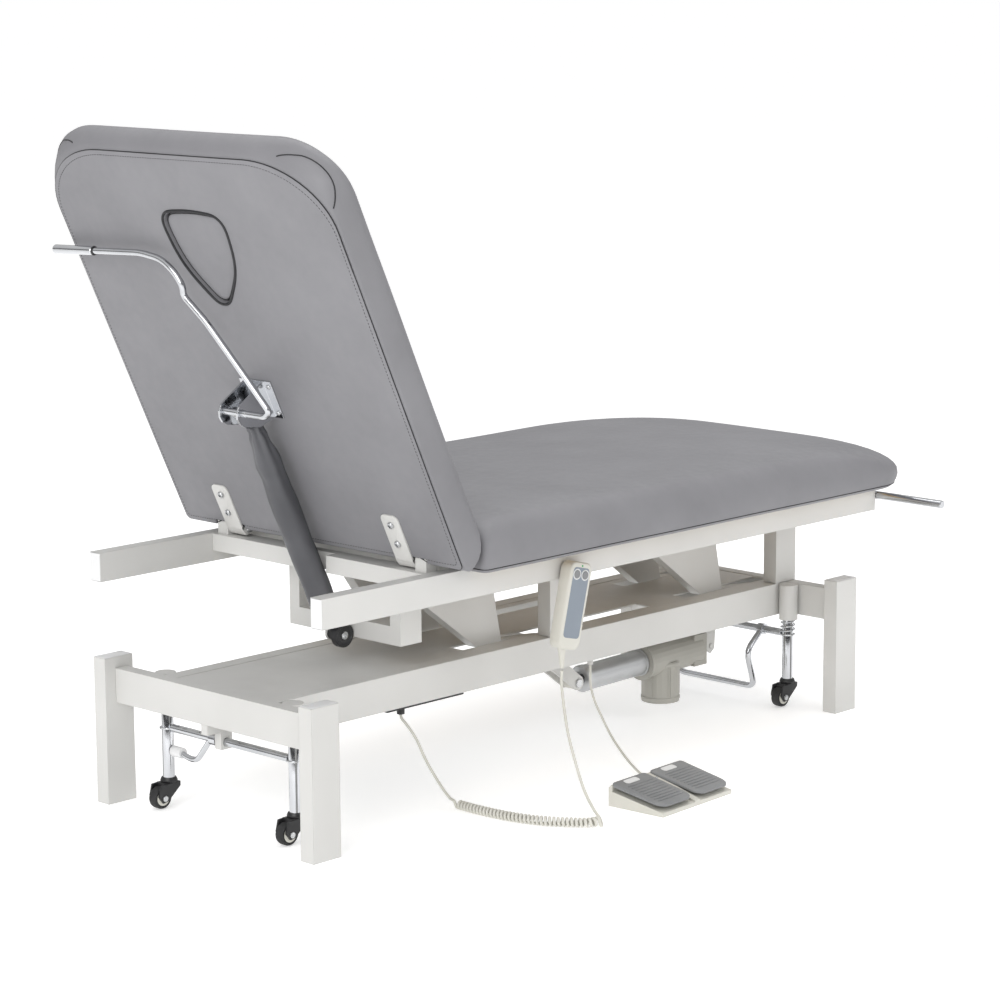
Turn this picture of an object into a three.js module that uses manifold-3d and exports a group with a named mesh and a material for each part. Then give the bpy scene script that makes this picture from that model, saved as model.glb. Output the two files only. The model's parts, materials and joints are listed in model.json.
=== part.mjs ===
// Two-section electric examination couch: welded base on retractable castors, parallel-arm
// hi-lo lift, raised backrest on a locking gas spring, hand control and double foot switch.
// Millimetres, +Z up, X from the head end to the foot end, Y across the couch.
import * as THREE from 'three';
import { mergeVertices } from 'three/addons/utils/BufferGeometryUtils.js';
import Module from 'manifold-3d';

const wasm = await Module();
wasm.setup();

// ---- Driving dimensions -------------------------------------------------------------------
const ORIGIN_X = 720.54; // distance from the head end of the base to the middle of the whole couch
const GAP = 0.3; // running gap between pieces that touch
const WALL = 2; // wall of every steel tube

// base
const BASE_L = 1398;
const BASE_HALF_W = 273;
const POST = { x: 60, y: 30, h: 255 };
const RAIL = { z0: 176, z1: 236, t: 25 };
const END_RAIL_X = 22;
const SIDE_RAIL_Y = { in: 112, out: 142 };
const SLEEVE = { r: 18, bore: 11, z0: 168 };
const CASTOR_X = END_RAIL_X + RAIL.t + SLEEVE.r;
const CASTOR_Y = SIDE_RAIL_Y.out + SLEEVE.r;

// castors
const LEG_R = 10.4;
const WHEEL = { r: 19, w: 18, trail: 20 };
const WHEEL_Z = WHEEL.r + 1;
const SHAFT = { r: 7, z: 140 };

// lift
const ARM_LOW = { x: 722, z: 212 };
const ARM_TOP = { x: 402, z: 395 };
const ARM_PITCH = 600;
const ARM_Y = { in: 65, out: 90 };
const CRANK = { x: 133, z: -101 };
const ACTUATOR_Y = -40;
const ACTUATOR_BACK = { x: 1225, z: 118 };

// upper frame
const TOP_RAIL = { x0: 12, x1: 1430, z0: 383, z1: 433, in: 263, out: 289.5 };
const HINGE = { x: 284, z: 446 };
const LEG_TUBE = { x: 58, top: TOP_RAIL.z0, bottom: RAIL.z1 + 0.6 };
const MID_LEG_X = 691;
const FOOT_LEG_X = 1318;
const SPRING_LOW = { x: 306, z: 286 };

// upholstery
const HALF_WIDTH = 345;
const SEAT = { x0: 322, x1: 1482, z0: TOP_RAIL.z1 + GAP, z1: 528, cornerR: 110 };
const BOARD_T = 12;
const BACK_LEAN = THREE.MathUtils.degToRad(24.94);
const BACK = { rear: -9.75, t: 76, z0: -8, seam: 750.6, top: 768, panel: 14 };
const BACK_CORNER = { y: 165, z: 118 }; // half axes of the rounded top corners
const SPRING_TOP = { x: -44.75, z: 280.6 };

// ---- Materials ----------------------------------------------------------------------------
const finish = (color, roughness, metalness) => ({ color, roughness, metalness });
const WHITE_PAINT = finish(0xe9e8e4, 0.45, 0.0);
const CHROME = finish(0xd8dadd, 0.12, 1.0);
const STEEL = finish(0xb9bcc0, 0.35, 0.9);
const VINYL = finish(0x97979b, 0.55, 0.0);
const DARK_VINYL = finish(0x6d6d72, 0.6, 0.0);
const BLACK_PLASTIC = finish(0x1c1c1d, 0.5, 0.0);
const TYRE = finish(0x232324, 0.7, 0.0);
const IVORY = finish(0xe6e3da, 0.4, 0.0);
const GREY_PLASTIC = finish(0x8d9196, 0.6, 0.0);
const PLYWOOD = finish(0xb89a72, 0.8, 0.0);
const ALUMINIUM = finish(0xc2c3c6, 0.35, 0.8);

// ---- Geometry helpers ---------------------------------------------------------------------
const box = (x0, x1, y0, y1, z0, z1) =>
  new THREE.BoxGeometry(x1 - x0, y1 - y0, z1 - z0).translate(
    (x0 + x1) / 2, (y0 + y1) / 2, (z0 + z1) / 2);

function toSolid(geometry) {
  const bare = geometry.clone();
  bare.deleteAttribute('normal');
  bare.deleteAttribute('uv');
  const merged = mergeVertices(bare, 1e-4);
  return new wasm.Manifold(new wasm.Mesh({
    numProp: 3,
    vertProperties: new Float32Array(merged.attributes.position.array),
    triVerts: new Uint32Array(merged.index.array),
  }));
}

function toGeometry(solid) {
  const mesh = solid.getMesh();
  const geometry = new THREE.BufferGeometry();
  geometry.setAttribute('position', new THREE.BufferAttribute(mesh.vertProperties, 3));
  geometry.setIndex(new THREE.BufferAttribute(mesh.triVerts, 1));
  return geometry;
}

const join = (...parts) => toGeometry(parts.map(toSolid).reduce((a, b) => a.add(b)));
const cut = (body, ...tools) =>
  toGeometry(tools.map(toSolid).reduce((a, b) => a.subtract(b), toSolid(body)));
const common = (...parts) => toGeometry(parts.map(toSolid).reduce((a, b) => a.intersect(b)));

// A cylinder between two points, with `sides` flats.
function rod(from, to, r, sides = 16) {
  const a = new THREE.Vector3(...from);
  const b = new THREE.Vector3(...to);
  const axis = b.clone().sub(a);
  const geometry = new THREE.CylinderGeometry(r, r, axis.length(), sides);
  const turn = new THREE.Quaternion().setFromUnitVectors(
    new THREE.Vector3(0, 1, 0), axis.clone().normalize());
  return geometry.applyQuaternion(turn).translate(...a.add(b).multiplyScalar(0.5));
}

const ring = (from, to, r, bore, sides = 20) => {
  const a = new THREE.Vector3(...from);
  const b = new THREE.Vector3(...to);
  const over = b.clone().sub(a).normalize();
  return cut(rod(from, to, r, sides),
    rod(a.clone().sub(over).toArray(), b.clone().add(over).toArray(), bore, sides));
};

// A rectangular tube along one axis, open at the ends named in `open` ('-', '+' or both).
function tube(x0, x1, y0, y1, z0, z1, axis, open = '-+') {
  const low = [x0, y0, z0];
  const high = [x1, y1, z1];
  const inLow = low.map((v) => v + WALL);
  const inHigh = high.map((v) => v - WALL);
  const k = 'xyz'.indexOf(axis);
  if (open.includes('-')) inLow[k] = low[k] - 1;
  if (open.includes('+')) inHigh[k] = high[k] + 1;
  return cut(box(x0, x1, y0, y1, z0, z1),
    box(inLow[0], inHigh[0], inLow[1], inHigh[1], inLow[2], inHigh[2]));
}

// An outline in the XZ plane, [x, z] points, extruded along Y from y0 to y1.
function plateXZ(points, y0, y1) {
  const shape = new THREE.Shape(points.map(([x, z]) => new THREE.Vector2(x, z)));
  const geometry = new THREE.ExtrudeGeometry(shape, { depth: y1 - y0, bevelEnabled: false });
  return geometry.rotateX(Math.PI / 2).translate(0, y1, 0);
}

// An outline in the YZ plane, [y, z] points, extruded along X from x0 to x1.
function plateYZ(points, x0, x1) {
  const shape = new THREE.Shape(points.map(([y, z]) => new THREE.Vector2(y, z)));
  const geometry = new THREE.ExtrudeGeometry(shape, { depth: x1 - x0, bevelEnabled: false });
  return geometry.rotateX(Math.PI / 2).rotateZ(Math.PI / 2).translate(x0, 0, 0);
}

// An outline in the XY plane, [x, y] points, extruded along Z from z0 to z1.
function plateXY(points, z0, z1) {
  const shape = new THREE.Shape(points.map(([x, y]) => new THREE.Vector2(x, y)));
  return new THREE.ExtrudeGeometry(shape, { depth: z1 - z0, bevelEnabled: false })
    .translate(0, 0, z0);
}

// Points on an elliptical arc, angles in degrees.
function arc(cx, cy, rx, ry, from, to, steps) {
  return Array.from({ length: steps + 1 }, (_, i) => {
    const a = THREE.MathUtils.degToRad(from + ((to - from) * i) / steps);
    return [cx + rx * Math.cos(a), cy + ry * Math.sin(a)];
  });
}

// A round bar bent along a list of points, with rounded corners.
function bentBar(points, r, { fillet = 20, steps = 40, sides = 10 } = {}) {
  const v = points.map((p) => new THREE.Vector3(...p));
  const path = new THREE.CurvePath();
  let start = v[0];
  for (let i = 1; i < v.length - 1; i += 1) {
    const back = v[i - 1].clone().sub(v[i]);
    const ahead = v[i + 1].clone().sub(v[i]);
    const reach = Math.min(fillet, back.length() / 2.1, ahead.length() / 2.1);
    const enter = v[i].clone().add(back.setLength(reach));
    const leave = v[i].clone().add(ahead.setLength(reach));
    path.add(new THREE.LineCurve3(start, enter));
    path.add(new THREE.QuadraticBezierCurve3(enter, v[i], leave));
    start = leave;
  }
  path.add(new THREE.LineCurve3(start, v[v.length - 1]));
  return sweep(path, r, steps, sides);
}

function sweep(path, r, steps, sides) {
  const section = new THREE.Shape(arc(0, 0, r, r, 0, 360, sides).slice(0, -1)
    .map(([x, y]) => new THREE.Vector2(x, y)));
  return new THREE.ExtrudeGeometry(section, { steps, extrudePath: path, bevelEnabled: false });
}

// A soft cord through hand-placed points.
const cord = (points, r, steps, sides = 8) =>
  sweep(new THREE.CatmullRomCurve3(points.map((p) => new THREE.Vector3(...p)), false,
    'centripetal'), r, steps, sides);

// ---- Scene graph --------------------------------------------------------------------------
const couch = new THREE.Group();
couch.position.x = -ORIGIN_X;

function add(parent, name, geometry, look) {
  const mesh = new THREE.Mesh(geometry, new THREE.MeshStandardMaterial(look));
  mesh.name = name;
  parent.add(mesh);
  return mesh;
}

const SIDES = [['near', -1], ['far', 1]];
const ENDS = ['head', 'foot'];
// Mirrors a head-end X to the foot end of the base.
const endX = (end, x) => (end === 'head' ? x : BASE_L - x);
const span = (a, b) => [Math.min(a, b), Math.max(a, b)];

// ---- Base ---------------------------------------------------------------------------------
function base() {
  const midZ = (RAIL.z0 + RAIL.z1) / 2;
  for (const end of ENDS) {
    for (const [side, s] of SIDES) {
      const [x0, x1] = span(endX(end, 0), endX(end, POST.x));
      const [y0, y1] = span(s * BASE_HALF_W, s * (BASE_HALF_W - POST.y));
      const post = tube(x0, x1, y0, y1, 0, POST.h, 'z', '');
      const railX = endX(end, END_RAIL_X + RAIL.t / 2);
      const inner = s * (BASE_HALF_W - POST.y);
      const window = box(railX - 6, railX + 6, ...span(inner - s * 4, inner + s * 4),
        midZ - 20, midZ + 20);
      add(couch, `post_${end}_${side}`, cut(post, window), WHITE_PAINT);
    }
    add(couch, `end_rail_${end}`, endRail(end), WHITE_PAINT);
  }
  for (const [side, s] of SIDES) {
    const [y0, y1] = span(s * SIDE_RAIL_Y.in, s * SIDE_RAIL_Y.out);
    const x0 = END_RAIL_X + RAIL.t + GAP;
    const rail = tube(x0, BASE_L - x0, y0, y1, RAIL.z0, RAIL.z1, 'x');
    add(couch, `side_rail_${side}`, side === 'near' ? join(rail, footCordGland()) : rail,
      WHITE_PAINT);
  }
  add(couch, 'tray_panel', trayPanel(), WHITE_PAINT);
}

// Gland under the near side rail, which carries the foot switch's cord inside it.
const footCordGland = () => rod([817, -122, 163], [817, -122, RAIL.z0 + 1], 5.5, 12);

// The cross rail between two posts, with both castor sleeves welded to its inner face.
function endRail(end) {
  const [x0, x1] = span(endX(end, END_RAIL_X), endX(end, END_RAIL_X + RAIL.t));
  const reach = BASE_HALF_W - POST.y - GAP;
  const rail = tube(x0, x1, -reach, reach, RAIL.z0, RAIL.z1, 'y');
  const weld = 1.5;
  const x = endX(end, CASTOR_X - weld);
  const top = RAIL.z1 - 0.5;
  const sleeves = SIDES.map(([, s]) => rod([x, s * CASTOR_Y, SLEEVE.z0],
    [x, s * CASTOR_Y, top], SLEEVE.r - GAP, 24));
  const bores = SIDES.map(([, s]) => rod([endX(end, CASTOR_X), s * CASTOR_Y, SLEEVE.z0 - 1],
    [endX(end, CASTOR_X), s * CASTOR_Y, top - 6], SLEEVE.bore, 20));
  const lug = box(...span(endX(end, 53), endX(end, 77)), 8, 24, 128, 163);
  const arm = box(...span(endX(end, END_RAIL_X + 2), endX(end, 77)), 8, 24, 158, RAIL.z0 + 1);
  const shaftHole = rod([endX(end, CASTOR_X), 0, SHAFT.z], [endX(end, CASTOR_X), 40, SHAFT.z],
    SHAFT.r + 0.4);
  return cut(join(rail, ...sleeves, arm, lug), ...bores, shaftHole);
}

// Sheet panel let in between the side rails, slotted for the lift arms.
function trayPanel() {
  const x0 = END_RAIL_X + RAIL.t + GAP;
  const y = SIDE_RAIL_Y.in - GAP;
  const slots = [[520, 1010], [1112, 1346]].flatMap(([a, b]) => SIDES.map(([, s]) =>
    box(a, b, ...span(s * (ARM_Y.in - 4), s * (ARM_Y.out + 4)), 220, 240)));
  return cut(box(x0, BASE_L - x0, -y, y, 232, 235), ...slots);
}

// Control box slung under the tray on the near side, with the handset cord's gland.
function controlBox() {
  const body = box(322, 505, -110.5, -14, 162, 231);
  const inletPocket = box(380, 412, -60, -36, 158, 174);
  const gland = rod([366, -97, 150.6], [366, -97, 163], 7, 12);
  add(couch, 'control_box', cut(join(body, gland), inletPocket), BLACK_PLASTIC);
}

// ---- Castors ------------------------------------------------------------------------------
function castor(end, side, s) {
  const x = endX(end, CASTOR_X);
  const y = s * CASTOR_Y;
  const forkTop = WHEEL_Z + 25;
  add(couch, `castor_leg_${end}_${side}`,
    rod([x, y, forkTop + 6], [x, y, RAIL.z1 - 34], LEG_R, 20), CHROME);
  const wx = x - WHEEL.trail;
  const cheek = [[wx - 13, WHEEL_Z + 4], [wx - 4, WHEEL_Z - 8], [wx + 7, WHEEL_Z - 6],
    [x + 14, forkTop - 8], [x + 14, forkTop], [wx - 8, forkTop - 2]];
  const yoke = join(plateXZ(cheek, y - 13.5, y - 10), plateXZ(cheek, y + 10, y + 13.5),
    box(wx + 1, x + 13.8, y - 11, y + 11, forkTop - 4.5, forkTop),
    rod([x, y, forkTop - 2], [x, y, forkTop + 5], 13, 20));
  add(couch, `castor_fork_${end}_${side}`,
    cut(yoke, rod([wx, y - 20, WHEEL_Z], [wx, y + 20, WHEEL_Z], 3.2, 12)), BLACK_PLASTIC);
  const half = WHEEL.w / 2;
  const profile = [[0, -half - 0.4], [8, -half - 0.4], [8, -half + 2], [14, -half + 1],
    [WHEEL.r - 2, -half], [WHEEL.r, -half + 3], [WHEEL.r, half - 3], [WHEEL.r - 2, half],
    [14, half - 1], [8, half - 2], [8, half + 0.4], [0, half + 0.4]];
  const disc = new THREE.LatheGeometry(profile.map(([r, h]) => new THREE.Vector2(r, h)), 24);
  const axle = rod([wx, y - 13.2, WHEEL_Z], [wx, y + 13.2, WHEEL_Z], 2.8, 12);
  add(couch, `castor_wheel_${end}_${side}`, join(disc.translate(wx, y, WHEEL_Z), axle), TYRE);
}

// Cross shaft at the head end with its J-shaped lever and painted hand sleeve.
function castorLever() {
  const x = CASTOR_X;
  const reach = CASTOR_Y - LEG_R - 2;
  const shaft = rod([x, -reach, SHAFT.z], [x, reach, SHAFT.z], SHAFT.r, 14);
  const hook = bentBar([[x, 47, SHAFT.z], [x, 66, 116], [x, 84, 95], [x, 104, 94], [x, 126, 100]],
    5, { steps: 20, sides: 8, fillet: 12 });
  const sleeve = rod([x, 122, 100], [x, 147, 100], 9, 14);
  add(couch, 'castor_lever_head', join(shaft, hook, sleeve), CHROME);
}

// Cross shaft at the foot end with the bail-shaped foot pedal.
function castorPedal() {
  const x = BASE_L - CASTOR_X;
  const reach = CASTOR_Y - LEG_R - 2;
  const shaft = rod([x, -reach, SHAFT.z], [x, reach, SHAFT.z], SHAFT.r, 14);
  const arm = (y) => [[x, y, SHAFT.z], [1287, y, 103], [1312, y, 29]];
  const bail = bentBar([...arm(97), ...arm(-97).reverse()], 6, { steps: 56, sides: 8 });
  add(couch, 'castor_pedal_foot', join(shaft, bail), CHROME);
}

// ---- Lift ---------------------------------------------------------------------------------
// Side plate of a lift arm: a gusset above the tray that narrows to a bar in the tray's slot.
function armOutline(dx) {
  const low = [ARM_LOW.x + dx, ARM_LOW.z];
  const top = [ARM_TOP.x + dx, ARM_TOP.z];
  return [
    ...arc(low[0], low[1], 17, 17, -110, 60, 6),
    [620 + dx, 236], [603 + dx, 320], [592 + dx, 388], [560 + dx, 409],
    ...arc(top[0], top[1], 15, 15, 90, 230, 5),
    [433 + dx, 327], [528 + dx, 256], [560 + dx, 232],
  ];
}

function liftArm(name, dx, extras) {
  const outline = armOutline(dx);
  const { x: lx, z: lz } = { x: ARM_LOW.x + dx, z: ARM_LOW.z };
  const { x: tx, z: tz } = { x: ARM_TOP.x + dx, z: ARM_TOP.z };
  const plates = SIDES.map(([, s]) => plateXZ(outline, ...span(s * ARM_Y.in, s * ARM_Y.out)));
  const lowTube = rod([lx, -111.5, lz], [lx, 111.5, lz], 11, 16);
  const topTube = rod([tx, -262.5, tz], [tx, 262.5, tz], 9.5, 16);
  const brace = box(500 + dx, 540 + dx, -ARM_Y.in - 1, ARM_Y.in + 1, 350, 375);
  add(couch, name, join(...plates, lowTube, topTube, brace, ...extras), WHITE_PAINT);
}

function actuator() {
  const pin = { x: ARM_LOW.x + CRANK.x, z: ARM_LOW.z + CRANK.z };
  const y = ACTUATOR_Y;
  const crankShape = [[ARM_LOW.x - 8, ARM_LOW.z + 6], [ARM_LOW.x - 12, ARM_LOW.z - 10],
    ...arc(pin.x, pin.z, 14, 14, 215, 400, 6), [ARM_LOW.x + 12, ARM_LOW.z + 8]];
  const cranks = [-1, 1].map((s) => plateXZ(crankShape, ...span(y + s * 13, y + s * 18)));
  liftArm('lift_arm_head', 0, cranks);
  liftArm('lift_arm_foot', ARM_PITCH, []);

  const along = new THREE.Vector3(pin.x - ACTUATOR_BACK.x, 0, pin.z - ACTUATOR_BACK.z);
  const at = (d) => {
    const p = along.clone().setLength(d);
    return [ACTUATOR_BACK.x + p.x, y, ACTUATOR_BACK.z + p.z];
  };
  const full = along.length();
  const housingEnd = 182;
  add(couch, 'actuator_tube', ring(at(housingEnd + GAP), at(full - 22), 24, 11, 24), ALUMINIUM);
  const head = rod(at(30), at(housingEnd), 33, 24);
  const motor = rod([1102, y, 32], [1102, y, 110], 36, 24);
  const rearEye = rod(at(-12), at(32), 11, 16);
  const hub = box(1170, 1206, y - 26, y + 26, 88, 148);
  const rearHole = rod([ACTUATOR_BACK.x, y - 20, ACTUATOR_BACK.z],
    [ACTUATOR_BACK.x, y + 20, ACTUATOR_BACK.z], 5.3, 12);
  const bore = rod(at(90), at(housingEnd + 1), 11, 24);
  add(couch, 'actuator_motor', cut(join(head, motor, rearEye, hub), rearHole, bore), IVORY);
  const eye = rod([pin.x, y - 10, pin.z], [pin.x, y + 10, pin.z], 13, 20);
  add(couch, 'actuator_rod', join(rod(at(200), at(full - 4), 9.6, 16), eye), STEEL);

  const lugs = [-1, 1].map((s) => plateXZ([[1208, 180], [1214, 112], [1225, 104], [1236, 112],
    [1242, 180]], ...span(y + s * 14, y + s * 19)));
  const crossTube = box(1205, 1245, -SIDE_RAIL_Y.in + GAP, SIDE_RAIL_Y.in - GAP, 178, 208);
  const rearPin = rod([1225, y - 22, 118], [1225, y + 22, 118], 5, 12);
  add(couch, 'actuator_mount', join(crossTube, ...lugs, rearPin), WHITE_PAINT);
}

// ---- Upper frame --------------------------------------------------------------------------
function upperFrame() {
  for (const [side, s] of SIDES) {
    const [y0, y1] = span(s * TOP_RAIL.in, s * TOP_RAIL.out);
    add(couch, `upper_rail_${side}`,
      tube(TOP_RAIL.x0, TOP_RAIL.x1, y0, y1, TOP_RAIL.z0, TOP_RAIL.z1, 'x', '+'), WHITE_PAINT);
  }
  const reach = TOP_RAIL.in - GAP;
  const lugs = SIDES.flatMap(([, s]) => [
    box(HINGE.x - 12, HINGE.x + 12, ...span(s * 233, s * 259), 430, 456),
    rod([HINGE.x, s * 191, HINGE.z], [HINGE.x, s * 240, HINGE.z], 4, 12)]);
  const springNotch = box(HINGE.x - 23, HINGE.x - 1, -28, 28, 401, 433);
  const crossbar = cut(box(HINGE.x - 22, HINGE.x + 18, -reach, reach, 402, 432), springNotch);
  add(couch, 'hinge_cross_member', join(crossbar, ...lugs), WHITE_PAINT);
  add(couch, 'spring_subframe', springSubframe(), WHITE_PAINT);
  const top = TOP_RAIL.z1 - GAP;
  for (const [name, x] of [['mid_cross_frame', MID_LEG_X], ['foot_cross_frame', FOOT_LEG_X]]) {
    const cross = box(x, x + LEG_TUBE.x, -reach, reach, TOP_RAIL.z0 + 14, top);
    const legs = SIDES.map(([, s]) => box(x, x + LEG_TUBE.x,
      ...span(s * SIDE_RAIL_Y.in, s * SIDE_RAIL_Y.out), LEG_TUBE.bottom, TOP_RAIL.z1 - 20));
    add(couch, name, join(cross, ...legs), WHITE_PAINT);
  }
  const stubs = SIDES.map(([, s]) => box(1398, 1440, ...span(s * 268, s * 284), 390, 426));
  add(couch, 'foot_bar', join(rod([1438, -440, 410], [1438, 440, 410], 7.5, 16), ...stubs),
    CHROME);
}

// Goalpost frame hanging from a crossbar; it carries the lower end of the gas spring.
function springSubframe() {
  const x0 = 328;
  const x1 = 378;
  const legs = SIDES.map(([, s]) => box(x0, x1, ...span(s * 113, s * 138), 280, 420));
  const low = box(x0, x1, -114, 114, 280, 312);
  const high = box(x0 + 5, x1 - 5, -TOP_RAIL.in + GAP, TOP_RAIL.in - GAP, 408,
    TOP_RAIL.z1 - GAP);
  const { x, z } = SPRING_LOW;
  const ear = [[x0 + 2, 310], [x + 2, z + 12], ...arc(x, z, 12, 12, 100, 260, 5),
    [x0 + 2, 282]];
  const ears = [-1, 1].map((s) => plateXZ(ear, ...span(s * 8, s * 12)));
  const pin = rod([x, -15, z], [x, 15, z], 5, 12);
  return join(...legs, low, high, ...ears, pin);
}

// ---- Seat ---------------------------------------------------------------------------------
function seat() {
  const { x0, x1, z0, z1 } = SEAT;
  const profile = [[x0 + 3, z0], [x1 - 34, z0], [x1 - 6, z0 + 8], [x1, z0 + 20],
    ...arc(x1 - 122, z0 + 24, 121, z1 - z0 - 24, 4, 90, 10),
    ...arc(x0 + 46, z1 - 52, 46, 52, 90, 180, 6), [x0, z0 + 8]];
  const side = (s) => [[s * 337, z0], [s * 344, z0 + 7], [s * HALF_WIDTH, z0 + 20],
    ...arc(288, z0 + 30, 56, 55, 8, 80, 6).map(([y, z]) => [s * y, z]), [s * 200, z1 - 4]];
  const section = [...side(1), ...side(-1).reverse()];
  const plan = [[x0 - 1, -346], [x0 - 1, 346],
    ...arc(x1 - SEAT.cornerR, 346 - SEAT.cornerR, SEAT.cornerR, SEAT.cornerR, 90, 0, 8),
    ...arc(x1 - SEAT.cornerR, -346 + SEAT.cornerR, SEAT.cornerR, SEAT.cornerR, 0, -90, 8)];
  const cushion = common(plateXZ(profile, -346, 346), plateYZ(section, x0 - 1, x1 + 1),
    plateXY(plan.reverse(), z0 - 1, z1 + 1));
  const recess = box(x0 + 22, x1 - 42, -325, 325, z0 - 1, z0 + BOARD_T + GAP);
  add(couch, 'seat_cushion', cut(cushion, recess), VINYL);
  add(couch, 'seat_board',
    box(x0 + 22.4, x1 - 42.4, -324.6, 324.6, z0, z0 + BOARD_T), PLYWOOD);
}

// ---- Backrest, built upright about its hinge and then leaned back --------------------------
const backrest = new THREE.Group();
backrest.position.set(HINGE.x, 0, HINGE.z);
backrest.rotation.y = -BACK_LEAN;
couch.add(backrest);

const PLUG = { top: 640, low: 474, half: 74 };
// Rounded triangle of the breathing hole's plug, shrunk by `inset`.
function plugOutline(inset) {
  const r = 26 - inset;
  const top = PLUG.top - 26;
  return [...arc(PLUG.half - 26, top, r, r, -12, 90, 5),
    ...arc(-PLUG.half + 26, top, r, r, 90, 192, 5),
    ...arc(0, PLUG.low + 26, r, r, 200, 340, 6)];
}

function backCushion() {
  const front = BACK.rear + BACK.t;
  const rear = BACK.rear + BACK.panel + GAP;
  const { seam, top, z0 } = BACK;
  const profile = [[rear, z0 + 6], [rear, top - 6], ...arc(rear + 18, top - 24, 42, 24, 100, 0, 5),
    [front, seam - 40], ...arc(front - 61, 92, 61, 100, 0, -82, 8)];
  const panelProfile = [[BACK.rear, 6], [BACK.rear, seam - 1], [BACK.rear + BACK.panel, seam + 8],
    [BACK.rear + BACK.panel, -2]];
  const outline = backOutline();
  const hole = plateYZ(plugOutline(0).reverse(), -30, 80);
  const notches = SIDES.map(([, s]) => box(-12, 17, ...span(s * 186, s * 263), -20, 17));
  const foam = common(plateXZ(profile, -346, 346), plateYZ(outline, -40, 100));
  const panel = common(plateXZ(panelProfile, -346, 346), plateYZ(outline, -40, 100));
  add(backrest, 'back_cushion', cut(foam, hole, ...notches), VINYL);
  add(backrest, 'back_panel', cut(panel, hole, ...notches), VINYL);
  add(backrest, 'face_plug', plateYZ(plugOutline(1).reverse(), BACK.rear + 1, front - 1), VINYL);
}

function backOutline() {
  const { y, z } = BACK_CORNER;
  const { top } = BACK;
  const low = 20;
  return [...arc(HALF_WIDTH - low, BACK.z0 + low, low, low, -90, 0, 3),
    ...arc(HALF_WIDTH - y, top - z, y, z, 0, 90, 8),
    ...arc(-HALF_WIDTH + y, top - z, y, z, 90, 180, 8),
    ...arc(-HALF_WIDTH + low, BACK.z0 + low, low, low, 180, 270, 3)];
}

// Steel strap under the back panel, bent round the hinge pin.
function hingeBrackets() {
  const face = BACK.rear - GAP;
  for (const [side, s] of SIDES) {
    const [y0, y1] = span(s * 192, s * 230);
    const strap = box(face - 3.2, face, y0, y1, 4, 94);
    const web = plateXZ([[face - 3.2, 12], [face - 3.2, 2], [-4, -7], [4, -6], [4, 4],
      [face, 12]], y0, y1);
    const barrel = rod([0, y0, 0], [0, y1, 0], 8, 16);
    const bore = rod([0, y0 - 1, 0], [0, y1 + 1, 0], 4.4, 12);
    add(backrest, `hinge_bracket_${side}`, cut(join(strap, web, barrel), bore), WHITE_PAINT);
  }
}

// Clevis on the back panel for the top of the gas spring, and the locking lever beside it.
function clevisAndLever() {
  const face = BACK.rear - GAP;
  const plate = box(face - 4, face, -42, 34, 262, 332);
  const ear = [[face - 1, 330], [face - 1, 264], [SPRING_TOP.x - 6, 266],
    ...arc(-66, 300, 22, 22, 230, 90, 5)];
  const ears = [[-24, -20], [20, 24]].map(([a, b]) => plateXZ([...ear].reverse(), a, b));
  const pivotHole = rod([-75, -40, 307], [-75, 40, 307], 6.4, 12);
  add(backrest, 'clevis_bracket', cut(join(plate, ...ears), pivotHole), CHROME);

  const leverPath = [[-32, 363, 561], [-32, 136, 571], [-32, 88, 563], [-36, 62, 543],
    [-40, 49, 521], [-42, 54, 503], [-50, 11, 463], [-62, -45, 385], [-75, -96, 318],
    [-75, -80, 307], [-75, -26, 307]];
  const bar = bentBar(leverPath, 5.5, { fillet: 16, steps: 72, sides: 8 });
  const pivot = rod([-75, -34, 307], [-75, 30, 307], 6, 12);
  const tongue = plateXZ([[-80, 306], [-72, 306], [-67, 297], [-71, 295]], -5, 5);
  const grip = rod([-32, 268, 565.2], [-32, 366, 560.9], 7.5, 14);
  add(backrest, 'release_lever', join(bar, pivot, tongue, grip), CHROME);
}

// ---- Gas spring ---------------------------------------------------------------------------
function gasSpring() {
  const top = new THREE.Vector3(SPRING_TOP.x, 0, SPRING_TOP.z)
    .applyAxisAngle(new THREE.Vector3(0, 1, 0), -BACK_LEAN)
    .add(new THREE.Vector3(HINGE.x, 0, HINGE.z));
  const low = new THREE.Vector3(SPRING_LOW.x, 0, SPRING_LOW.z);
  const along = top.clone().sub(low);
  const length = along.length();
  const at = (d) => low.clone().add(along.clone().setLength(d)).toArray();
  const eye = rod([low.x, -7.5, low.z], [low.x, 7.5, low.z], 11, 16);
  const eyeHole = rod([low.x, -9, low.z], [low.x, 9, low.z], 5.4, 12);
  const body = ring(at(26), at(270), 13, 5.6, 20);
  const neck = rod(at(4), at(34), 7.4, 16);
  add(couch, 'gas_cylinder', cut(join(body, neck, eye), eyeHole), BLACK_PLASTIC);
  add(couch, 'gas_rod', join(rod(at(158), at(length - 4), 5, 12),
    rod(at(length - 14), at(length + 8), 8.5, 12)), STEEL);
  const sleeve = (d, r) => new THREE.Vector2(r, d);
  const profile = [sleeve(26, 13.6), sleeve(26, 24.5), sleeve(180, 24), sleeve(300, 19),
    sleeve(386, 15), sleeve(396, 12), sleeve(396, 10), sleeve(290, 13.6), sleeve(26, 13.6)];
  const skin = new THREE.LatheGeometry(profile, 16);
  const turn = new THREE.Quaternion().setFromUnitVectors(
    new THREE.Vector3(0, 1, 0), along.clone().normalize());
  add(couch, 'gas_spring_sleeve', skin.applyQuaternion(turn).translate(...low.toArray()),
    DARK_VINYL);
  add(couch, 'spring_pivot_cap',
    ring([low.x, -23, low.z], [low.x, -12.4, low.z], 21, 5.4, 24), BLACK_PLASTIC);
}

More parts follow.
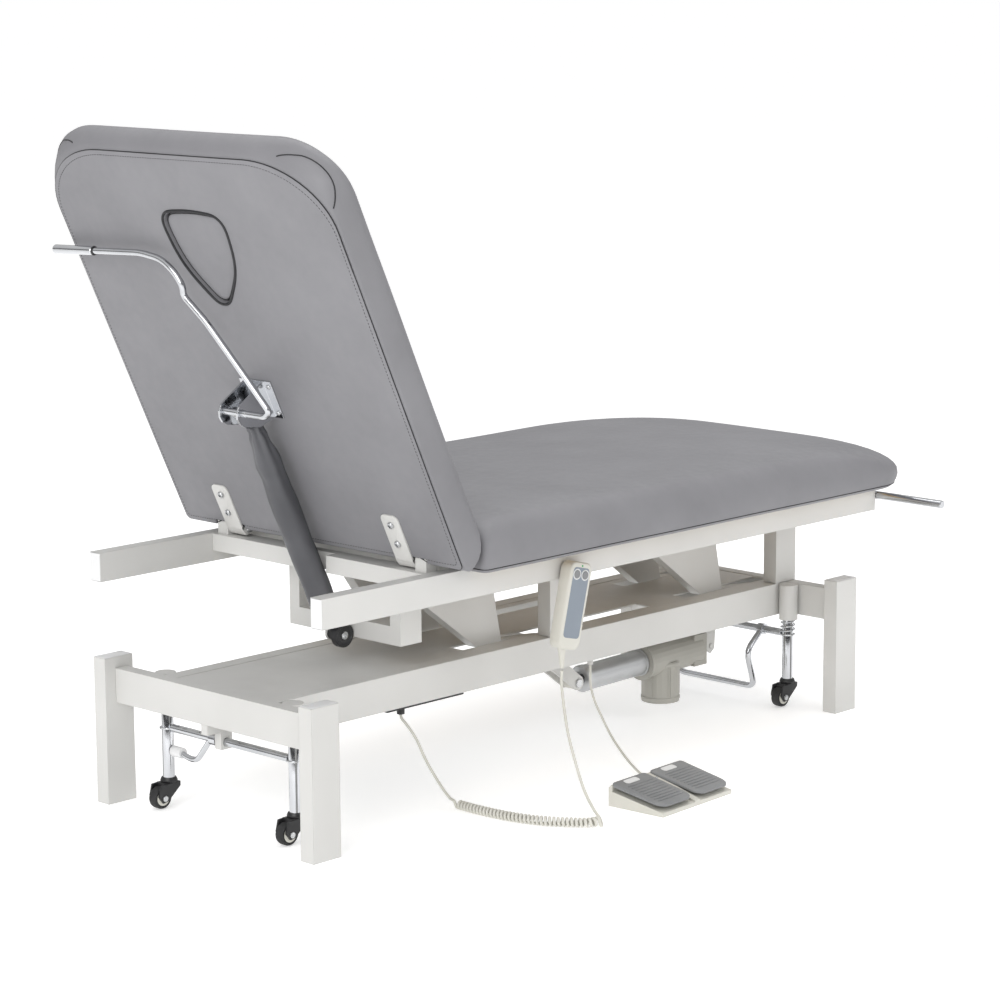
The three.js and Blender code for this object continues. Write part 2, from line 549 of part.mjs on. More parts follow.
// ---- Hand control -------------------------------------------------------------------------
const HANDSET = { x: 565, y: -305, z: 338, w: 59, h: 150, t: 25 };
const handset = new THREE.Group();
handset.position.set(HANDSET.x, HANDSET.y, HANDSET.z);
handset.rotation.y = THREE.MathUtils.degToRad(11);
couch.add(handset);

function handControl() {
  const { w, h, t } = HANDSET;
  const r = 12;
  const corner = (x, z, from) => arc(x, z, r, r, from, from + 90, 3);
  const outline = [...corner(w / 2 - r, h / 2 - r, 0), ...corner(-w / 2 + r, h / 2 - r, 90),
    ...corner(-w / 2 + r + 3, -h / 2 + r, 180), ...corner(w / 2 - r - 3, -h / 2 + r, 270)];
  const shell = plateXZ(outline, -t / 2, t / 2);
  const hook = box(-9, 9, t / 2 - 1, t / 2 + 2.6, 20, 66);
  const gland = rod([-2, 2, -h / 2 + 2], [-2, 2, -h / 2 - 34], 6.5, 12);
  const keys = [[-12, 'up'], [12, 'down']];
  const wells = keys.map(([x]) => rod([x, -t / 2 - 1, 54], [x, -t / 2 + 5, 54], 8, 16));
  add(handset, 'handset_body', cut(join(shell, hook, gland), ...wells), IVORY);
  for (const [x, name] of keys) {
    add(handset, `handset_button_${name}`,
      rod([x, -t / 2 - 1.5, 54], [x, -t / 2 + 2.5, 54], 7.4, 16), GREY_PLASTIC);
  }
}

// ---- Foot switch --------------------------------------------------------------------------
const FOOT_SWITCH = { x: 676, y: -437, turn: 4, halfW: 97, halfD: 58 };
const footSwitch = new THREE.Group();
footSwitch.position.set(FOOT_SWITCH.x, FOOT_SWITCH.y, 0);
footSwitch.rotation.z = THREE.MathUtils.degToRad(FOOT_SWITCH.turn);
couch.add(footSwitch);

// Wedge housing with an open well at each side of a middle ridge, and a pedal in each well.
function footControl() {
  const { halfW, halfD } = FOOT_SWITCH;
  const wedge = [[-halfD, 0], [halfD, 0], [halfD, 32], [halfD - 6, 38], [-10, 24], [-halfD, 10]];
  const well = [[-halfD - 1, 7], [halfD - 8, 26], [halfD - 8, 50], [-halfD - 1, 50]];
  const inner = 7;
  const wells = [plateYZ(well, -halfW - 1, -inner), plateYZ(well, inner, halfW + 1)];
  add(footSwitch, 'foot_switch_base', cut(plateYZ(wedge, -halfW, halfW), ...wells), IVORY);
  const pad = [[-halfD + 6, 12.5], [halfD - 10, 30], [halfD - 10, 40], [halfD - 16, 42],
    [-halfD + 10, 21], [-halfD + 6, 18]];
  add(footSwitch, 'foot_pedal_up', plateYZ(pad, -halfW + 3, -inner - 1.5), GREY_PLASTIC);
  add(footSwitch, 'foot_pedal_down', plateYZ(pad, inner + 1.5, halfW - 3), GREY_PLASTIC);
}

// ---- Cords --------------------------------------------------------------------------------
const CORD_R = 2.6;
const COIL_R = 8.5;
const FOOT_CORD_R = 2.4;
const HANDSET_CORD_DOWN = [[548.6, -303, 227.4], [547, -303.5, 208], [538, -316, 176],
  [522, -341, 132], [508, -371, 88], [498, -402, 44], [491, -430, 18], [484, -449, 9.5],
  [473.4, -456.4, 9]];
const HANDSET_COIL = [[471, -456, 9], [458, -452, 9], [436, -428, 9], [412, -390, 9],
  [396, -346, 9], [388, -300, 9], [385, -256, 9], [386, -214, 9]];
const HANDSET_CORD_UP = [[386, -213.2, 9], [385.8, -209, 9.6], [385, -200, 13.5],
  [385, -184, 24.5], [386, -168, 38], [385, -150, 58], [382, -136, 80], [378, -122, 108],
  [371, -106, 132], [366.6, -98, 143], [366, -97, 149]];
const FOOT_CORD = [[817, -122, 162.5], [817, -122, 150], [817, -123, 125], [818, -131, 98],
  [820, -148, 68], [817, -172, 40], [807, -205, 19], [788, -245, 7], [765, -285, 3.2],
  [742, -325, 3.2], [718, -352, 5], [698, -362, 9], [685, -369, 13], [682.4, -377, 14]];

function cords() {
  add(couch, 'handset_cord_upper', cord(HANDSET_CORD_DOWN, CORD_R, 26), IVORY);
  add(couch, 'handset_cord_coil', cord(HANDSET_COIL, COIL_R, 16, 10), IVORY);
  add(couch, 'handset_cord_lower', cord(HANDSET_CORD_UP, CORD_R, 24), IVORY);
  add(couch, 'foot_switch_cord', cord(FOOT_CORD, FOOT_CORD_R, 48), IVORY);
}

// ---- Assembly -----------------------------------------------------------------------------
base();
controlBox();
for (const end of ENDS) {
  for (const [side, s] of SIDES) castor(end, side, s);
}
castorLever();
castorPedal();
actuator();
upperFrame();
seat();
backCushion();
hingeBrackets();
clevisAndLever();
gasSpring();
handControl();
footControl();
cords();

export default couch;
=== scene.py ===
"""Looks of the two-section electric examination couch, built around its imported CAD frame."""
import json
import math

import bpy
import bmesh
from mathutils import Matrix, Vector, noise
from mathutils.bvhtree import BVHTree


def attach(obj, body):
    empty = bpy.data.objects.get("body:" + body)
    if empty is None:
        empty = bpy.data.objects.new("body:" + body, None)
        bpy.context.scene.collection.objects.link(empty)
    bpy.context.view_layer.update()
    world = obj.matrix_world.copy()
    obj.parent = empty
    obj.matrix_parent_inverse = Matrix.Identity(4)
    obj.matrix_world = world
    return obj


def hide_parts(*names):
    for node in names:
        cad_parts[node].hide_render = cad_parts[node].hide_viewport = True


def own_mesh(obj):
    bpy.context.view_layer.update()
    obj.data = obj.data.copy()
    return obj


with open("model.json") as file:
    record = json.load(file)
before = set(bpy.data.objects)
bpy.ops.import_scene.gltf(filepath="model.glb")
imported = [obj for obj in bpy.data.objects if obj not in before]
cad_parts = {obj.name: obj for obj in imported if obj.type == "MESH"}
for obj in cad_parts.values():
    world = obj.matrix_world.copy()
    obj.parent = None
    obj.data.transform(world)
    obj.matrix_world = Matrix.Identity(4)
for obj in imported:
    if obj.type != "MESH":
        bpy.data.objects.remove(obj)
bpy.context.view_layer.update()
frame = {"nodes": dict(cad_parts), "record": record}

# ---- Places, in the CAD's own working millimetres (X from the head end of the base) ----
ORIGIN_X = 720.54
SIDES = {"near": -1, "far": 1}
HINGE = (284, 446)              # axis of the backrest, x and z
BACK_LEAN = math.radians(24.94)
SPRING_LOW = (306, 286)         # lower pivot of the gas spring, x and z
SPRING_TOP = (-44.75, 280.6)    # its upper pivot, in the backrest's own x and z
ACTUATOR_Y = -40
CRANK_PIN = (855, 111)          # where the actuator pushes, x and z
MOTOR_X = 1102
SHAFT_Z = 140                   # both cross shafts of the castor levers
CASTOR_X = {"head": 65, "foot": 1333}
CASTOR_Y = {"near": -160, "far": 160}
SEAT = {"x0": 322, "x1": 1482, "z0": 434.2, "z1": 529, "half": 345}
FOOT_CORNER = (82, 86)
HEAD_CORNER = (12, 12)
REAR = -9.75                    # rear face of the back pad, in the backrest's own x
THICK = 76
HALF_WIDTH = 345
PLUG = {"top": 640, "low": 474, "half": 74}
HANDSET = {"x": 568, "y": -305, "z": 338, "w": 54, "h": 150, "t": 25, "turn": math.radians(14)}
FOOT_SWITCH = {"x": 676, "y": -437, "turn": math.radians(4)}


def mm(x, y, z):
    """A point of the working frame as a Blender point."""
    return Vector(((x - ORIGIN_X) / 1000, y / 1000, z / 1000))


def back(x, y, z):
    """A point of the backrest (x out of its front, z along it from the hinge) as a Blender point."""
    c, s = math.cos(BACK_LEAN), math.sin(BACK_LEAN)
    return mm(HINGE[0] + x * c - z * s, y, HINGE[1] + x * s + z * c)


def hand(x, y, z):
    """A point of the hand control, from its middle, as a Blender point."""
    c, s = math.cos(HANDSET["turn"]), math.sin(HANDSET["turn"])
    return mm(HANDSET["x"] + x * c + z * s, HANDSET["y"] + y, HANDSET["z"] - x * s + z * c)


def foot(x, y, z):
    """A point of the foot switch, from the middle of its base, as a Blender point."""
    c, s = math.cos(FOOT_SWITCH["turn"]), math.sin(FOOT_SWITCH["turn"])
    return mm(FOOT_SWITCH["x"] + x * c - y * s, FOOT_SWITCH["y"] + x * s + y * c, z)


def heading(place, x, y, z):
    """The direction (x, y, z) in the axes of a place function, as a Blender vector."""
    return place(x, y, z) - place(0, 0, 0)


def link(name, data):
    """A new object in the scene."""
    obj = bpy.data.objects.new(name, data)
    bpy.context.scene.collection.objects.link(obj)
    return obj


# ---- Camera ----
CAMERA = {"at": (-3260.7, -3863.3, 1466.8), "yaw": 44.2, "pitch": 10.27, "roll": -0.36,
          "lens": 113.45, "sensor": 36, "sees_to": 300}


def make_camera():
    """The camera, from its place in the working frame and its three angles in degrees."""
    yaw, pitch, roll = (math.radians(CAMERA[k]) for k in ("yaw", "pitch", "roll"))
    ahead = Vector((math.cos(yaw) * math.cos(pitch), math.sin(yaw) * math.cos(pitch),
                    -math.sin(pitch)))
    right = Vector((math.sin(yaw), -math.cos(yaw), 0))
    up = right.cross(ahead)
    side = right * math.cos(roll) + up * math.sin(roll)
    top = up * math.cos(roll) - right * math.sin(roll)
    camera = link("camera", bpy.data.cameras.new("camera"))
    camera.data.lens = CAMERA["lens"]
    camera.data.sensor_width = CAMERA["sensor"]
    camera.data.clip_end = CAMERA["sees_to"]
    camera.matrix_world = Matrix.Translation(mm(*CAMERA["at"])) @ Matrix(
        (side, top, -ahead)).transposed().to_4x4()
    bpy.context.scene.camera = camera


# ---- Materials ----
NOISE_RANGE = (0.3, 0.7)        # where nearly all of a noise texture's values lie


def put(node, **values):
    """Sets the named inputs of a node, with _ for each space in a name."""
    for key, value in values.items():
        node.inputs[key.replace("_", " ")].default_value = value


class Shader:
    """A Principled material with a few helpers for procedural detail in object space."""

    def __init__(self, name, rough, metal=0.0, **inputs):
        self.mat = bpy.data.materials.new(name)
        self.mat.use_nodes = True
        self.nodes = self.mat.node_tree.nodes
        self.links = self.mat.node_tree.links
        self.bsdf = self.nodes["Principled BSDF"]
        put(self.bsdf, Roughness=rough, Metallic=metal, **inputs)
        self.place = self.new("TexCoord").outputs["Object"]
        self.normal = None

    def new(self, kind, **inputs):
        node = self.nodes.new("ShaderNode" + kind)
        put(node, **inputs)
        return node

    def noise(self, scale, detail=2.0, stretch=(1, 1, 1)):
        move = self.new("Mapping", Scale=stretch)
        self.links.new(self.place, move.inputs["Vector"])
        tex = self.new("TexNoise", Scale=scale, Detail=detail)
        self.links.new(move.outputs["Vector"], tex.inputs["Vector"])
        return tex.outputs["Fac"]

    def cells(self, scale):
        tex = self.new("TexVoronoi", Scale=scale)
        tex.feature = "SMOOTH_F1"
        self.links.new(self.place, tex.inputs["Vector"])
        return tex.outputs["Distance"]

    def colour(self, low, high, fac):
        ramp = self.new("ValToRGB")
        for stop, place, shade_of in zip(ramp.color_ramp.elements, NOISE_RANGE, (low, high)):
            stop.position = place
            stop.color = (*shade_of, 1)
        self.links.new(fac, ramp.inputs["Fac"])
        self.links.new(ramp.outputs["Color"], self.bsdf.inputs["Base Color"])

    def rough(self, low, high, fac):
        span = self.new("MapRange", From_Min=NOISE_RANGE[0], From_Max=NOISE_RANGE[1], To_Min=low,
                        To_Max=high)
        self.links.new(fac, span.inputs["Value"])
        self.links.new(span.outputs["Result"], self.bsdf.inputs["Roughness"])

    def soft_edges(self, radius):
        bevel = self.new("Bevel", Radius=radius)
        bevel.samples = 4
        self.normal = bevel.outputs["Normal"]
        self.links.new(self.normal, self.bsdf.inputs["Normal"])

    def bump(self, fac, depth, strength=0.5):
        bump = self.new("Bump", Strength=strength, Distance=depth)
        self.links.new(fac, bump.inputs["Height"])
        if self.normal:
            self.links.new(self.normal, bump.inputs["Normal"])
        self.normal = bump.outputs["Normal"]
        self.links.new(self.normal, self.bsdf.inputs["Normal"])


def vinyl(name, low, high):
    s = Shader(name, 0.5, Specular_IOR_Level=0.4)
    s.colour(low, high, s.noise(7, 3))
    s.rough(0.46, 0.58, s.noise(60))
    s.bump(s.cells(520), 0.00018, 0.35)
    s.bump(s.noise(38, 3), 0.0008, 0.12)
    return s.mat


def paint(name, low, high):
    s = Shader(name, 0.4)
    s.soft_edges(0.0016)
    s.colour(low, high, s.noise(5))
    s.rough(0.34, 0.46, s.noise(25))
    s.bump(s.noise(900, 1), 0.00006, 0.25)
    return s.mat


def metal(name, low, high, rough, stretch=(1, 1, 1), scale=220):
    s = Shader(name, rough, 1.0)
    s.soft_edges(0.0008)
    s.colour(low, high, s.noise(12))
    s.rough(rough * 0.7, rough * 1.5, s.noise(scale, 3, stretch))
    s.bump(s.noise(scale, 2, stretch), 0.00003, 0.15)
    return s.mat


def plastic(name, low, high, rough, grain=1400, depth=0.00005):
    s = Shader(name, rough)
    s.soft_edges(0.001)
    s.colour(low, high, s.noise(9))
    s.rough(rough * 0.85, rough * 1.15, s.noise(45))
    s.bump(s.noise(grain, 2), depth, 0.4)
    return s.mat


def plywood(name):
    s = Shader(name, 0.7)
    s.colour((0.36, 0.25, 0.14), (0.55, 0.42, 0.27), s.noise(9, 4, (1, 14, 60)))
    s.bump(s.noise(60, 3, (1, 12, 20)), 0.0002, 0.4)
    return s.mat


MATS = {row[0]: make(*row) for make, *row in (
    (paint, "white_paint", (0.60, 0.595, 0.575), (0.65, 0.645, 0.625)),
    (metal, "chrome", (0.52, 0.53, 0.55), (0.64, 0.65, 0.67), 0.09),
    (metal, "steel", (0.52, 0.53, 0.54), (0.66, 0.67, 0.68), 0.28),
    (vinyl, "vinyl", (0.200, 0.198, 0.210), (0.226, 0.224, 0.237)),
    (vinyl, "dark_vinyl", (0.070, 0.071, 0.078), (0.105, 0.106, 0.115)),
    (plastic, "black_plastic", (0.012, 0.012, 0.013), (0.022, 0.022, 0.024), 0.42),
    (plastic, "tyre", (0.014, 0.014, 0.015), (0.030, 0.030, 0.031), 0.7, 700, 0.0002),
    (plastic, "ivory_plastic", (0.60, 0.59, 0.53), (0.67, 0.655, 0.60), 0.42),
    (plastic, "grey_plastic", (0.20, 0.205, 0.21), (0.27, 0.275, 0.28), 0.5),
    (plywood, "plywood"),
    (metal, "aluminium", (0.50, 0.51, 0.52), (0.60, 0.61, 0.62), 0.42, (1, 30, 30), 90),
    (plastic, "seam", (0.010, 0.010, 0.012), (0.022, 0.022, 0.024), 0.6),
    (plastic, "thread", (0.055, 0.055, 0.06), (0.08, 0.08, 0.085), 0.7),
    # The ivory plastic darkened to about six tenths: painted shade on the actuator under the seat.
    (plastic, "beige_plastic", (0.36, 0.35, 0.315), (0.42, 0.41, 0.37), 0.45),
    (plastic, "label", (0.20, 0.235, 0.28), (0.24, 0.275, 0.32), 0.35),
    (plastic, "blank_white", (0.74, 0.74, 0.74), (0.80, 0.80, 0.80), 0.4),
    (plastic, "green_lens", (0.03, 0.30, 0.08), (0.05, 0.42, 0.12), 0.2),
)}

# CAD nodes that keep showing in a material other than their slot's: the actuator's motor and housing
# get the ivory plastic darkened to about six tenths, which is painted shade for the dark under the
# seat.
NODE_MATS = {"actuator_motor": "beige_plastic", "actuator_housing": "beige_plastic"}


def dress_frame():
    for row in frame["record"]["subparts"]:
        node = frame["nodes"][row["node"]]
        node.data.materials.clear()
        node.data.materials.append(MATS[NODE_MATS.get(row["node"], row["material_slot"])])


# ---- Mesh helpers ----
def outward(mesh):
    """Turns the faces of a closed mesh outward."""
    bm = bmesh.new()
    bm.from_mesh(mesh)
    bmesh.ops.recalc_face_normals(bm, faces=bm.faces)
    bm.to_mesh(mesh)
    bm.free()


def shade(mesh, angle):
    """Smooth shading, broken where faces meet at more than angle degrees."""
    mesh.polygons.foreach_set("use_smooth", [True] * len(mesh.polygons))
    mesh.set_sharp_from_angle(angle=math.radians(angle))


def piece(name, verts, faces, mat, body, slot=None, angle=40):
    """A mesh that rides a body; where body is None it still gets shaped, and rides later."""
    mesh = bpy.data.meshes.new(name)
    mesh.from_pydata([tuple(v) for v in verts], [], faces)
    mesh.materials.append(MATS[mat])
    outward(mesh)
    shade(mesh, angle)
    obj = link(name, mesh)
    if body:
        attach(obj, body)
    return obj


def loft(rings, closed_tube=False):
    """Verts and quads through rings of equal length; the two ends are closed by n-gons."""
    n = len(rings[0])
    verts = [p for ring in rings for p in ring]
    faces = []
    pairs = range(len(rings) if closed_tube else len(rings) - 1)
    for k in pairs:
        a, b = k * n, ((k + 1) % len(rings)) * n
        faces += [(a + i, a + (i + 1) % n, b + (i + 1) % n, b + i) for i in range(n)]
    if not closed_tube:
        faces.append(tuple(range(n))[::-1])
        faces.append(tuple(range(len(verts) - n, len(verts))))
    return verts, faces


def frame_of(direction):
    """A unit vector along direction and two more across it."""
    d = Vector(direction).normalized()
    side = d.cross(Vector((0, 0, 1)) if abs(d.z) < 0.9 else Vector((1, 0, 0))).normalized()
    return d, side, d.cross(side)


def turned(name, start, direction, profile, mat, body, sides=40, **kw):
    """A turned piece: profile is (distance along direction, radius) in millimetres."""
    d, u, v = frame_of(direction)
    rings = [[start + d * (h / 1000) + (u * math.cos(a) + v * math.sin(a)) * (max(r, 0.01) / 1000)
              for a in (2 * math.pi * i / sides for i in range(sides))] for h, r in profile]
    return piece(name, *loft(rings), mat, body, **kw)


def fillet(points, reach, steps=7):
    """Rounds the corners of a route of Blender points; reach is in metres."""
    out = [points[0]]
    for a, b, c in zip(points, points[1:], points[2:]):
        back_leg, next_leg = a - b, c - b
        r = min(reach, back_leg.length / 2.1, next_leg.length / 2.1)
        p, q = b + back_leg.normalized() * r, b + next_leg.normalized() * r
        for i in range(steps + 1):
            t = i / steps
            out.append(p * (1 - t) ** 2 + b * 2 * t * (1 - t) + q * t * t)
    out.append(points[-1])
    return out


def mix(t, a, b, start, end):
    """The point at t on the line that is at a when t is start, and at b when it is end."""
    return a * ((end - t) / (end - start)) + b * ((t - start) / (end - start))


def smooth_route(points, per=8):
    """A centripetal Catmull-Rom curve through Blender points."""
    p = [points[0] * 2 - points[1], *points, points[-1] * 2 - points[-2]]
    out = []
    for i in range(1, len(p) - 2):
        t0 = 0.0
        t1 = t0 + math.sqrt((p[i] - p[i - 1]).length)
        t2 = t1 + math.sqrt((p[i + 1] - p[i]).length)
        t3 = t2 + math.sqrt((p[i + 2] - p[i + 1]).length)
        for k in range(per):
            t = t1 + (t2 - t1) * k / per
            a1 = mix(t, p[i - 1], p[i], t0, t1)
            a2 = mix(t, p[i], p[i + 1], t1, t2)
            a3 = mix(t, p[i + 1], p[i + 2], t2, t3)
            out.append(mix(t, mix(t, a1, a2, t0, t2), mix(t, a2, a3, t1, t3), t1, t2))
    out.append(points[-1])
    return out


def carried_frames(route, closed=False):
    """A tangent and two side vectors at each route point, carried along without twist."""
    n = len(route)
    tangents = []
    for i in range(n):
        a = route[i - 1] if i or closed else route[0]
        b = route[(i + 1) % n] if i < n - 1 or closed else route[-1]
        tangents.append((b - a).normalized())
    _, side, _ = frame_of(tangents[0])
    frames = []
    for t in tangents:
        side = (side - t * side.dot(t)).normalized()
        frames.append((t, side, t.cross(side)))
    return frames


def bar(name, route, radius, mat, body, sides=20, closed=False, **kw):
    """A round bar or tube along a route; radius in millimetres, ends slightly domed."""
    r = radius / 1000
    frames = carried_frames(route, closed)
    circle = [2 * math.pi * i / sides for i in range(sides)]

    def ring(centre, f, rr):
        return [centre + (f[1] * math.cos(a) + f[2] * math.sin(a)) * rr for a in circle]

    rings = [ring(p, f, r) for p, f in zip(route, frames)]
    if not closed:
        first, last = frames[0], frames[-1]
        rings = [ring(route[0], first, r * 0.8), ring(route[0] + first[0] * r * 0.2, first, r),
                 *rings[1:-1], ring(route[-1] - last[0] * r * 0.2, last, r),
                 ring(route[-1], last, r * 0.8)]
    return piece(name, *loft(rings, closed), mat, body, **kw)


def rounded_loop(x0, x1, y0, y1, radii, corner=14, side=22):
    """Points round a rectangle whose corners (++, -+, --, +-) are quarter ellipses (rx, ry)."""
    centres = [(x1, y1, -1, -1, 0), (x0, y1, 1, -1, 90), (x0, y0, 1, 1, 180), (x1, y0, -1, 1, 270)]
    arcs = []
    for (cx, cy, sx, sy, start), (rx, ry) in zip(centres, radii):
        arcs.append([(cx + sx * rx + rx * math.cos(math.radians(start + 90 * i / corner)),
                      cy + sy * ry + ry * math.sin(math.radians(start + 90 * i / corner)))
                     for i in range(corner + 1)])
    out = []
    for k, points in enumerate(arcs):
        nxt = arcs[(k + 1) % 4][0]
        out += points
        last = points[-1]
        out += [(last[0] + (nxt[0] - last[0]) * i / side, last[1] + (nxt[1] - last[1]) * i / side)
                for i in range(1, side)]
    return out


def circle_at(x, y, radius, count=32):
    """Pairs of numbers round a circle."""
    return [(x + radius * math.cos(2 * math.pi * i / count),
             y + radius * math.sin(2 * math.pi * i / count)) for i in range(count)]


def value_at(x, table):
    """The value at x on straight lines between the (x, value) rows of a table."""
    for (x0, v0), (x1, v1) in zip(table, table[1:]):
        if x0 <= x <= x1:
            return v0 + (v1 - v0) * (x - x0) / (x1 - x0)
    return table[-1][1]


def rounded_box(name, lo, hi, radius, mat, body, place, **kw):
    """A box with rounded upright edges and softened ends, axes along the given place function."""
    x0, y0, z0 = lo
    x1, y1, z1 = hi
    rings = []
    for z, inset in ((z0, 0.8), (z0 + 0.8, 0), (z1 - 0.8, 0), (z1, 0.8)):
        loop = rounded_loop(x0 + inset, x1 - inset, y0 + inset, y1 - inset,
                            [(radius, radius)] * 4, 6, 2)
        rings.append([place(x, y, z) for x, y in loop])
    return piece(name, *loft(rings), mat, body, **kw)


# ---- Cords ----
HANDSET_CORD_DOWN = [(548.6, -303, 227.4), (547, -303.5, 208), (538, -316, 176),
                     (522, -341, 132), (508, -371, 88), (498, -402, 44), (491, -430, 18),
                     (484, -449, 9.5), (473.4, -456.4, 9)]
HANDSET_COIL = [(471, -456, 9), (458, -452, 9), (436, -428, 9), (412, -390, 9),
                (396, -346, 9), (388, -300, 9), (385, -256, 9), (386, -214, 9)]
HANDSET_CORD_UP = [(386, -213.2, 9), (385.8, -209, 9.6), (385, -200, 13.5),
                   (385, -184, 24.5), (386, -168, 38), (385, -150, 58), (382, -136, 80),
                   (378, -122, 108), (371, -106, 132), (366.6, -98, 143), (366, -97, 149)]
FOOT_CORD = [(817, -122, 162.5), (817, -122, 150), (817, -123, 125), (818, -131, 98),
             (820, -148, 68), (817, -172, 40), (807, -205, 19), (788, -245, 7),
             (765, -285, 3.2), (742, -325, 3.2), (718, -352, 5), (698, -362, 9),
             (685, -369, 13), (682.4, -377, 14)]
HANDSET_CORD_D = 0.0052
FOOT_CORD_D = 0.0048
COIL_TURNS = 37
COIL_OUTER = 0.0172
COIL_RUN_IN = 0.022             # how much of each straight stretch its join to the coil takes up


def route_of(points):
    return smooth_route([mm(*p) for p in points])


def length_of(route):
    return sum((b - a).length for a, b in zip(route, route[1:]))


def resample(route, count):
    """The route again with count evenly spaced points."""
    total, out, gone, k = length_of(route), [], 0.0, 0
    for i in range(count):
        want = total * i / (count - 1)
        while k < len(route) - 2 and gone + (route[k + 1] - route[k]).length < want:
            gone += (route[k + 1] - route[k]).length
            k += 1
        step = (route[k + 1] - route[k]).length
        out.append(route[k].lerp(route[k + 1], min(1, (want - gone) / step)))
    return out


def helix_along(route, turns, radius, per_turn=16):
    """A helix of even radius wound on a route."""
    line = resample(route, turns * per_turn + 1)
    frames = carried_frames(line)
    out = []
    for i, (p, f) in enumerate(zip(line, frames)):
        a = 2 * math.pi * i / per_turn
        out.append(p + (f[1] * math.cos(a) + f[2] * math.sin(a)) * radius)
    return out


def bridge(before, after, steps=14, reach=0.6):
    """Points of a smooth bend from the end of one route into the start of the next."""
    a, d = before[-1], after[0]
    pull = (d - a).length * reach
    b = a + (before[-1] - before[-2]).normalized() * pull
    c = d - (after[1] - after[0]).normalized() * pull
    return [a * (1 - t) ** 3 + b * 3 * t * (1 - t) ** 2 + c * 3 * t * t * (1 - t) + d * t ** 3
            for t in (k / steps for k in range(1, steps))]


def cut_back(route, gap):
    """The route without the stretch that lies within gap of its end."""
    return [p for p in route if (p - route[-1]).length > gap]


def cord_curve(name, route, diameter, mat, body):
    curve = bpy.data.curves.new(name, "CURVE")
    curve.dimensions = "3D"
    curve.bevel_depth = diameter / 2
    curve.bevel_resolution = 4
    curve.use_fill_caps = True
    line = curve.splines.new("POLY")
    line.points.add(len(route) - 1)
    for point, co in zip(line.points, route):
        point.co = (*co, 1)
    curve.materials.append(MATS[mat])
    obj = link(name, curve)
    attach(obj, body)
    return obj


def make_cords():
    coil = helix_along(route_of(HANDSET_COIL)[::-1], COIL_TURNS, (COIL_OUTER - HANDSET_CORD_D) / 2)
    rise = cut_back(route_of(HANDSET_CORD_UP)[::-1], COIL_RUN_IN)
    fall = cut_back(route_of(HANDSET_CORD_DOWN), COIL_RUN_IN)[::-1]
    route = rise + bridge(rise, coil) + coil + bridge(coil, fall) + fall
    curly = cord_curve("handset_cord", route, HANDSET_CORD_D, "ivory_plastic", "base")
    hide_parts("handset_cord_upper", "handset_cord_coil", "handset_cord_lower")
    route = route_of(FOOT_CORD)
    lead = cord_curve("foot_switch_lead", route, FOOT_CORD_D, "ivory_plastic", "base")
    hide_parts("foot_switch_cord")


make_camera()
make_cords()
dress_frame()


# ---- Upholstery ----
def toward_centre(ring, lift, shares):
    """Rings that shrink to the middle of ring; lift(share) is how far each rises, as a vector."""
    centre = sum(ring, Vector()) / len(ring)
    return [[centre + (p - centre) * f + lift(f) for p in ring] for f in shares]


def swell(obj, amount, scale):
    """Small irregular rises and hollows, as foam under a tight cover has."""
    for v in obj.data.vertices:
        k = noise.noise(v.co * scale)
        v.co += v.normal * (k * amount)


def seat_shape():
    """The seat pad: flat below, full rounded sides, and a long nose at the foot end."""
    x0, x1, z0, z1, half = (SEAT[k] for k in ("x0", "x1", "z0", "z1", "half"))

    def ring(foot_in, head_in, side_in, z, grow=0.0):
        foot_r = (FOOT_CORNER[0] + grow * 240, FOOT_CORNER[1] + grow * 182)
        head_r = (HEAD_CORNER[0] + grow * 26, HEAD_CORNER[1] + grow * 26)
        loop = rounded_loop(x0 + head_in, x1 - foot_in, -half + side_in, half - side_in,
                            [foot_r, head_r, head_r, foot_r], 14, 30)
        return [mm(x, y, z) for x, y in loop]

    low = ring(20, 6, 6, z0)
    rings = toward_centre(low, lambda f: Vector(), (0.02, 0.4, 0.75, 0.94))
    rings += [low, ring(16, 4, 4, z0 + 1.2), ring(9, 2, 1.6, z0 + 6), ring(4, 0.8, 0.4, z0 + 14),
              ring(1, 0, 0, z0 + 22)]
    for i in range(1, 13):
        a = math.radians(90 * i / 12)
        drop, rise = 1 - math.cos(a), math.sin(a)
        rings.append(ring(1 + 118 * drop, 44 * drop, 52 * drop, z0 + 26 + 57 * rise, drop))
    crown = (z1 - (z0 + 83)) / 1000
    rings += toward_centre(rings[-1], lambda f: Vector((0, 0, crown * (1 - f ** 3))),
                           (0.97, 0.9, 0.8, 0.66, 0.5, 0.33, 0.16, 0.02))
    return rings


def back_loop(t, side_in, top, low):
    """One ring of the back pad at depth t from its rear face, as Blender points."""
    square = min(1, max(0, t - 6) / 34)
    corner = (165 - 42 * square, 118 - 30 * square)
    lower = (9, 9)
    loop = rounded_loop(low, top, -HALF_WIDTH + side_in, HALF_WIDTH - side_in,
                        [corner[::-1], lower, lower, corner[::-1]], 16, 30)
    return [back(REAR + t, y, z) for z, y in loop]


def lower_front(t):
    """Height of the pad's lower front roll at depth t."""
    if t <= 15:
        return -6 + (15 - t) * 0.9
    c = min(1, (t - 15) / 61)
    return 96.2 - 102 * math.sqrt(1 - c * c)


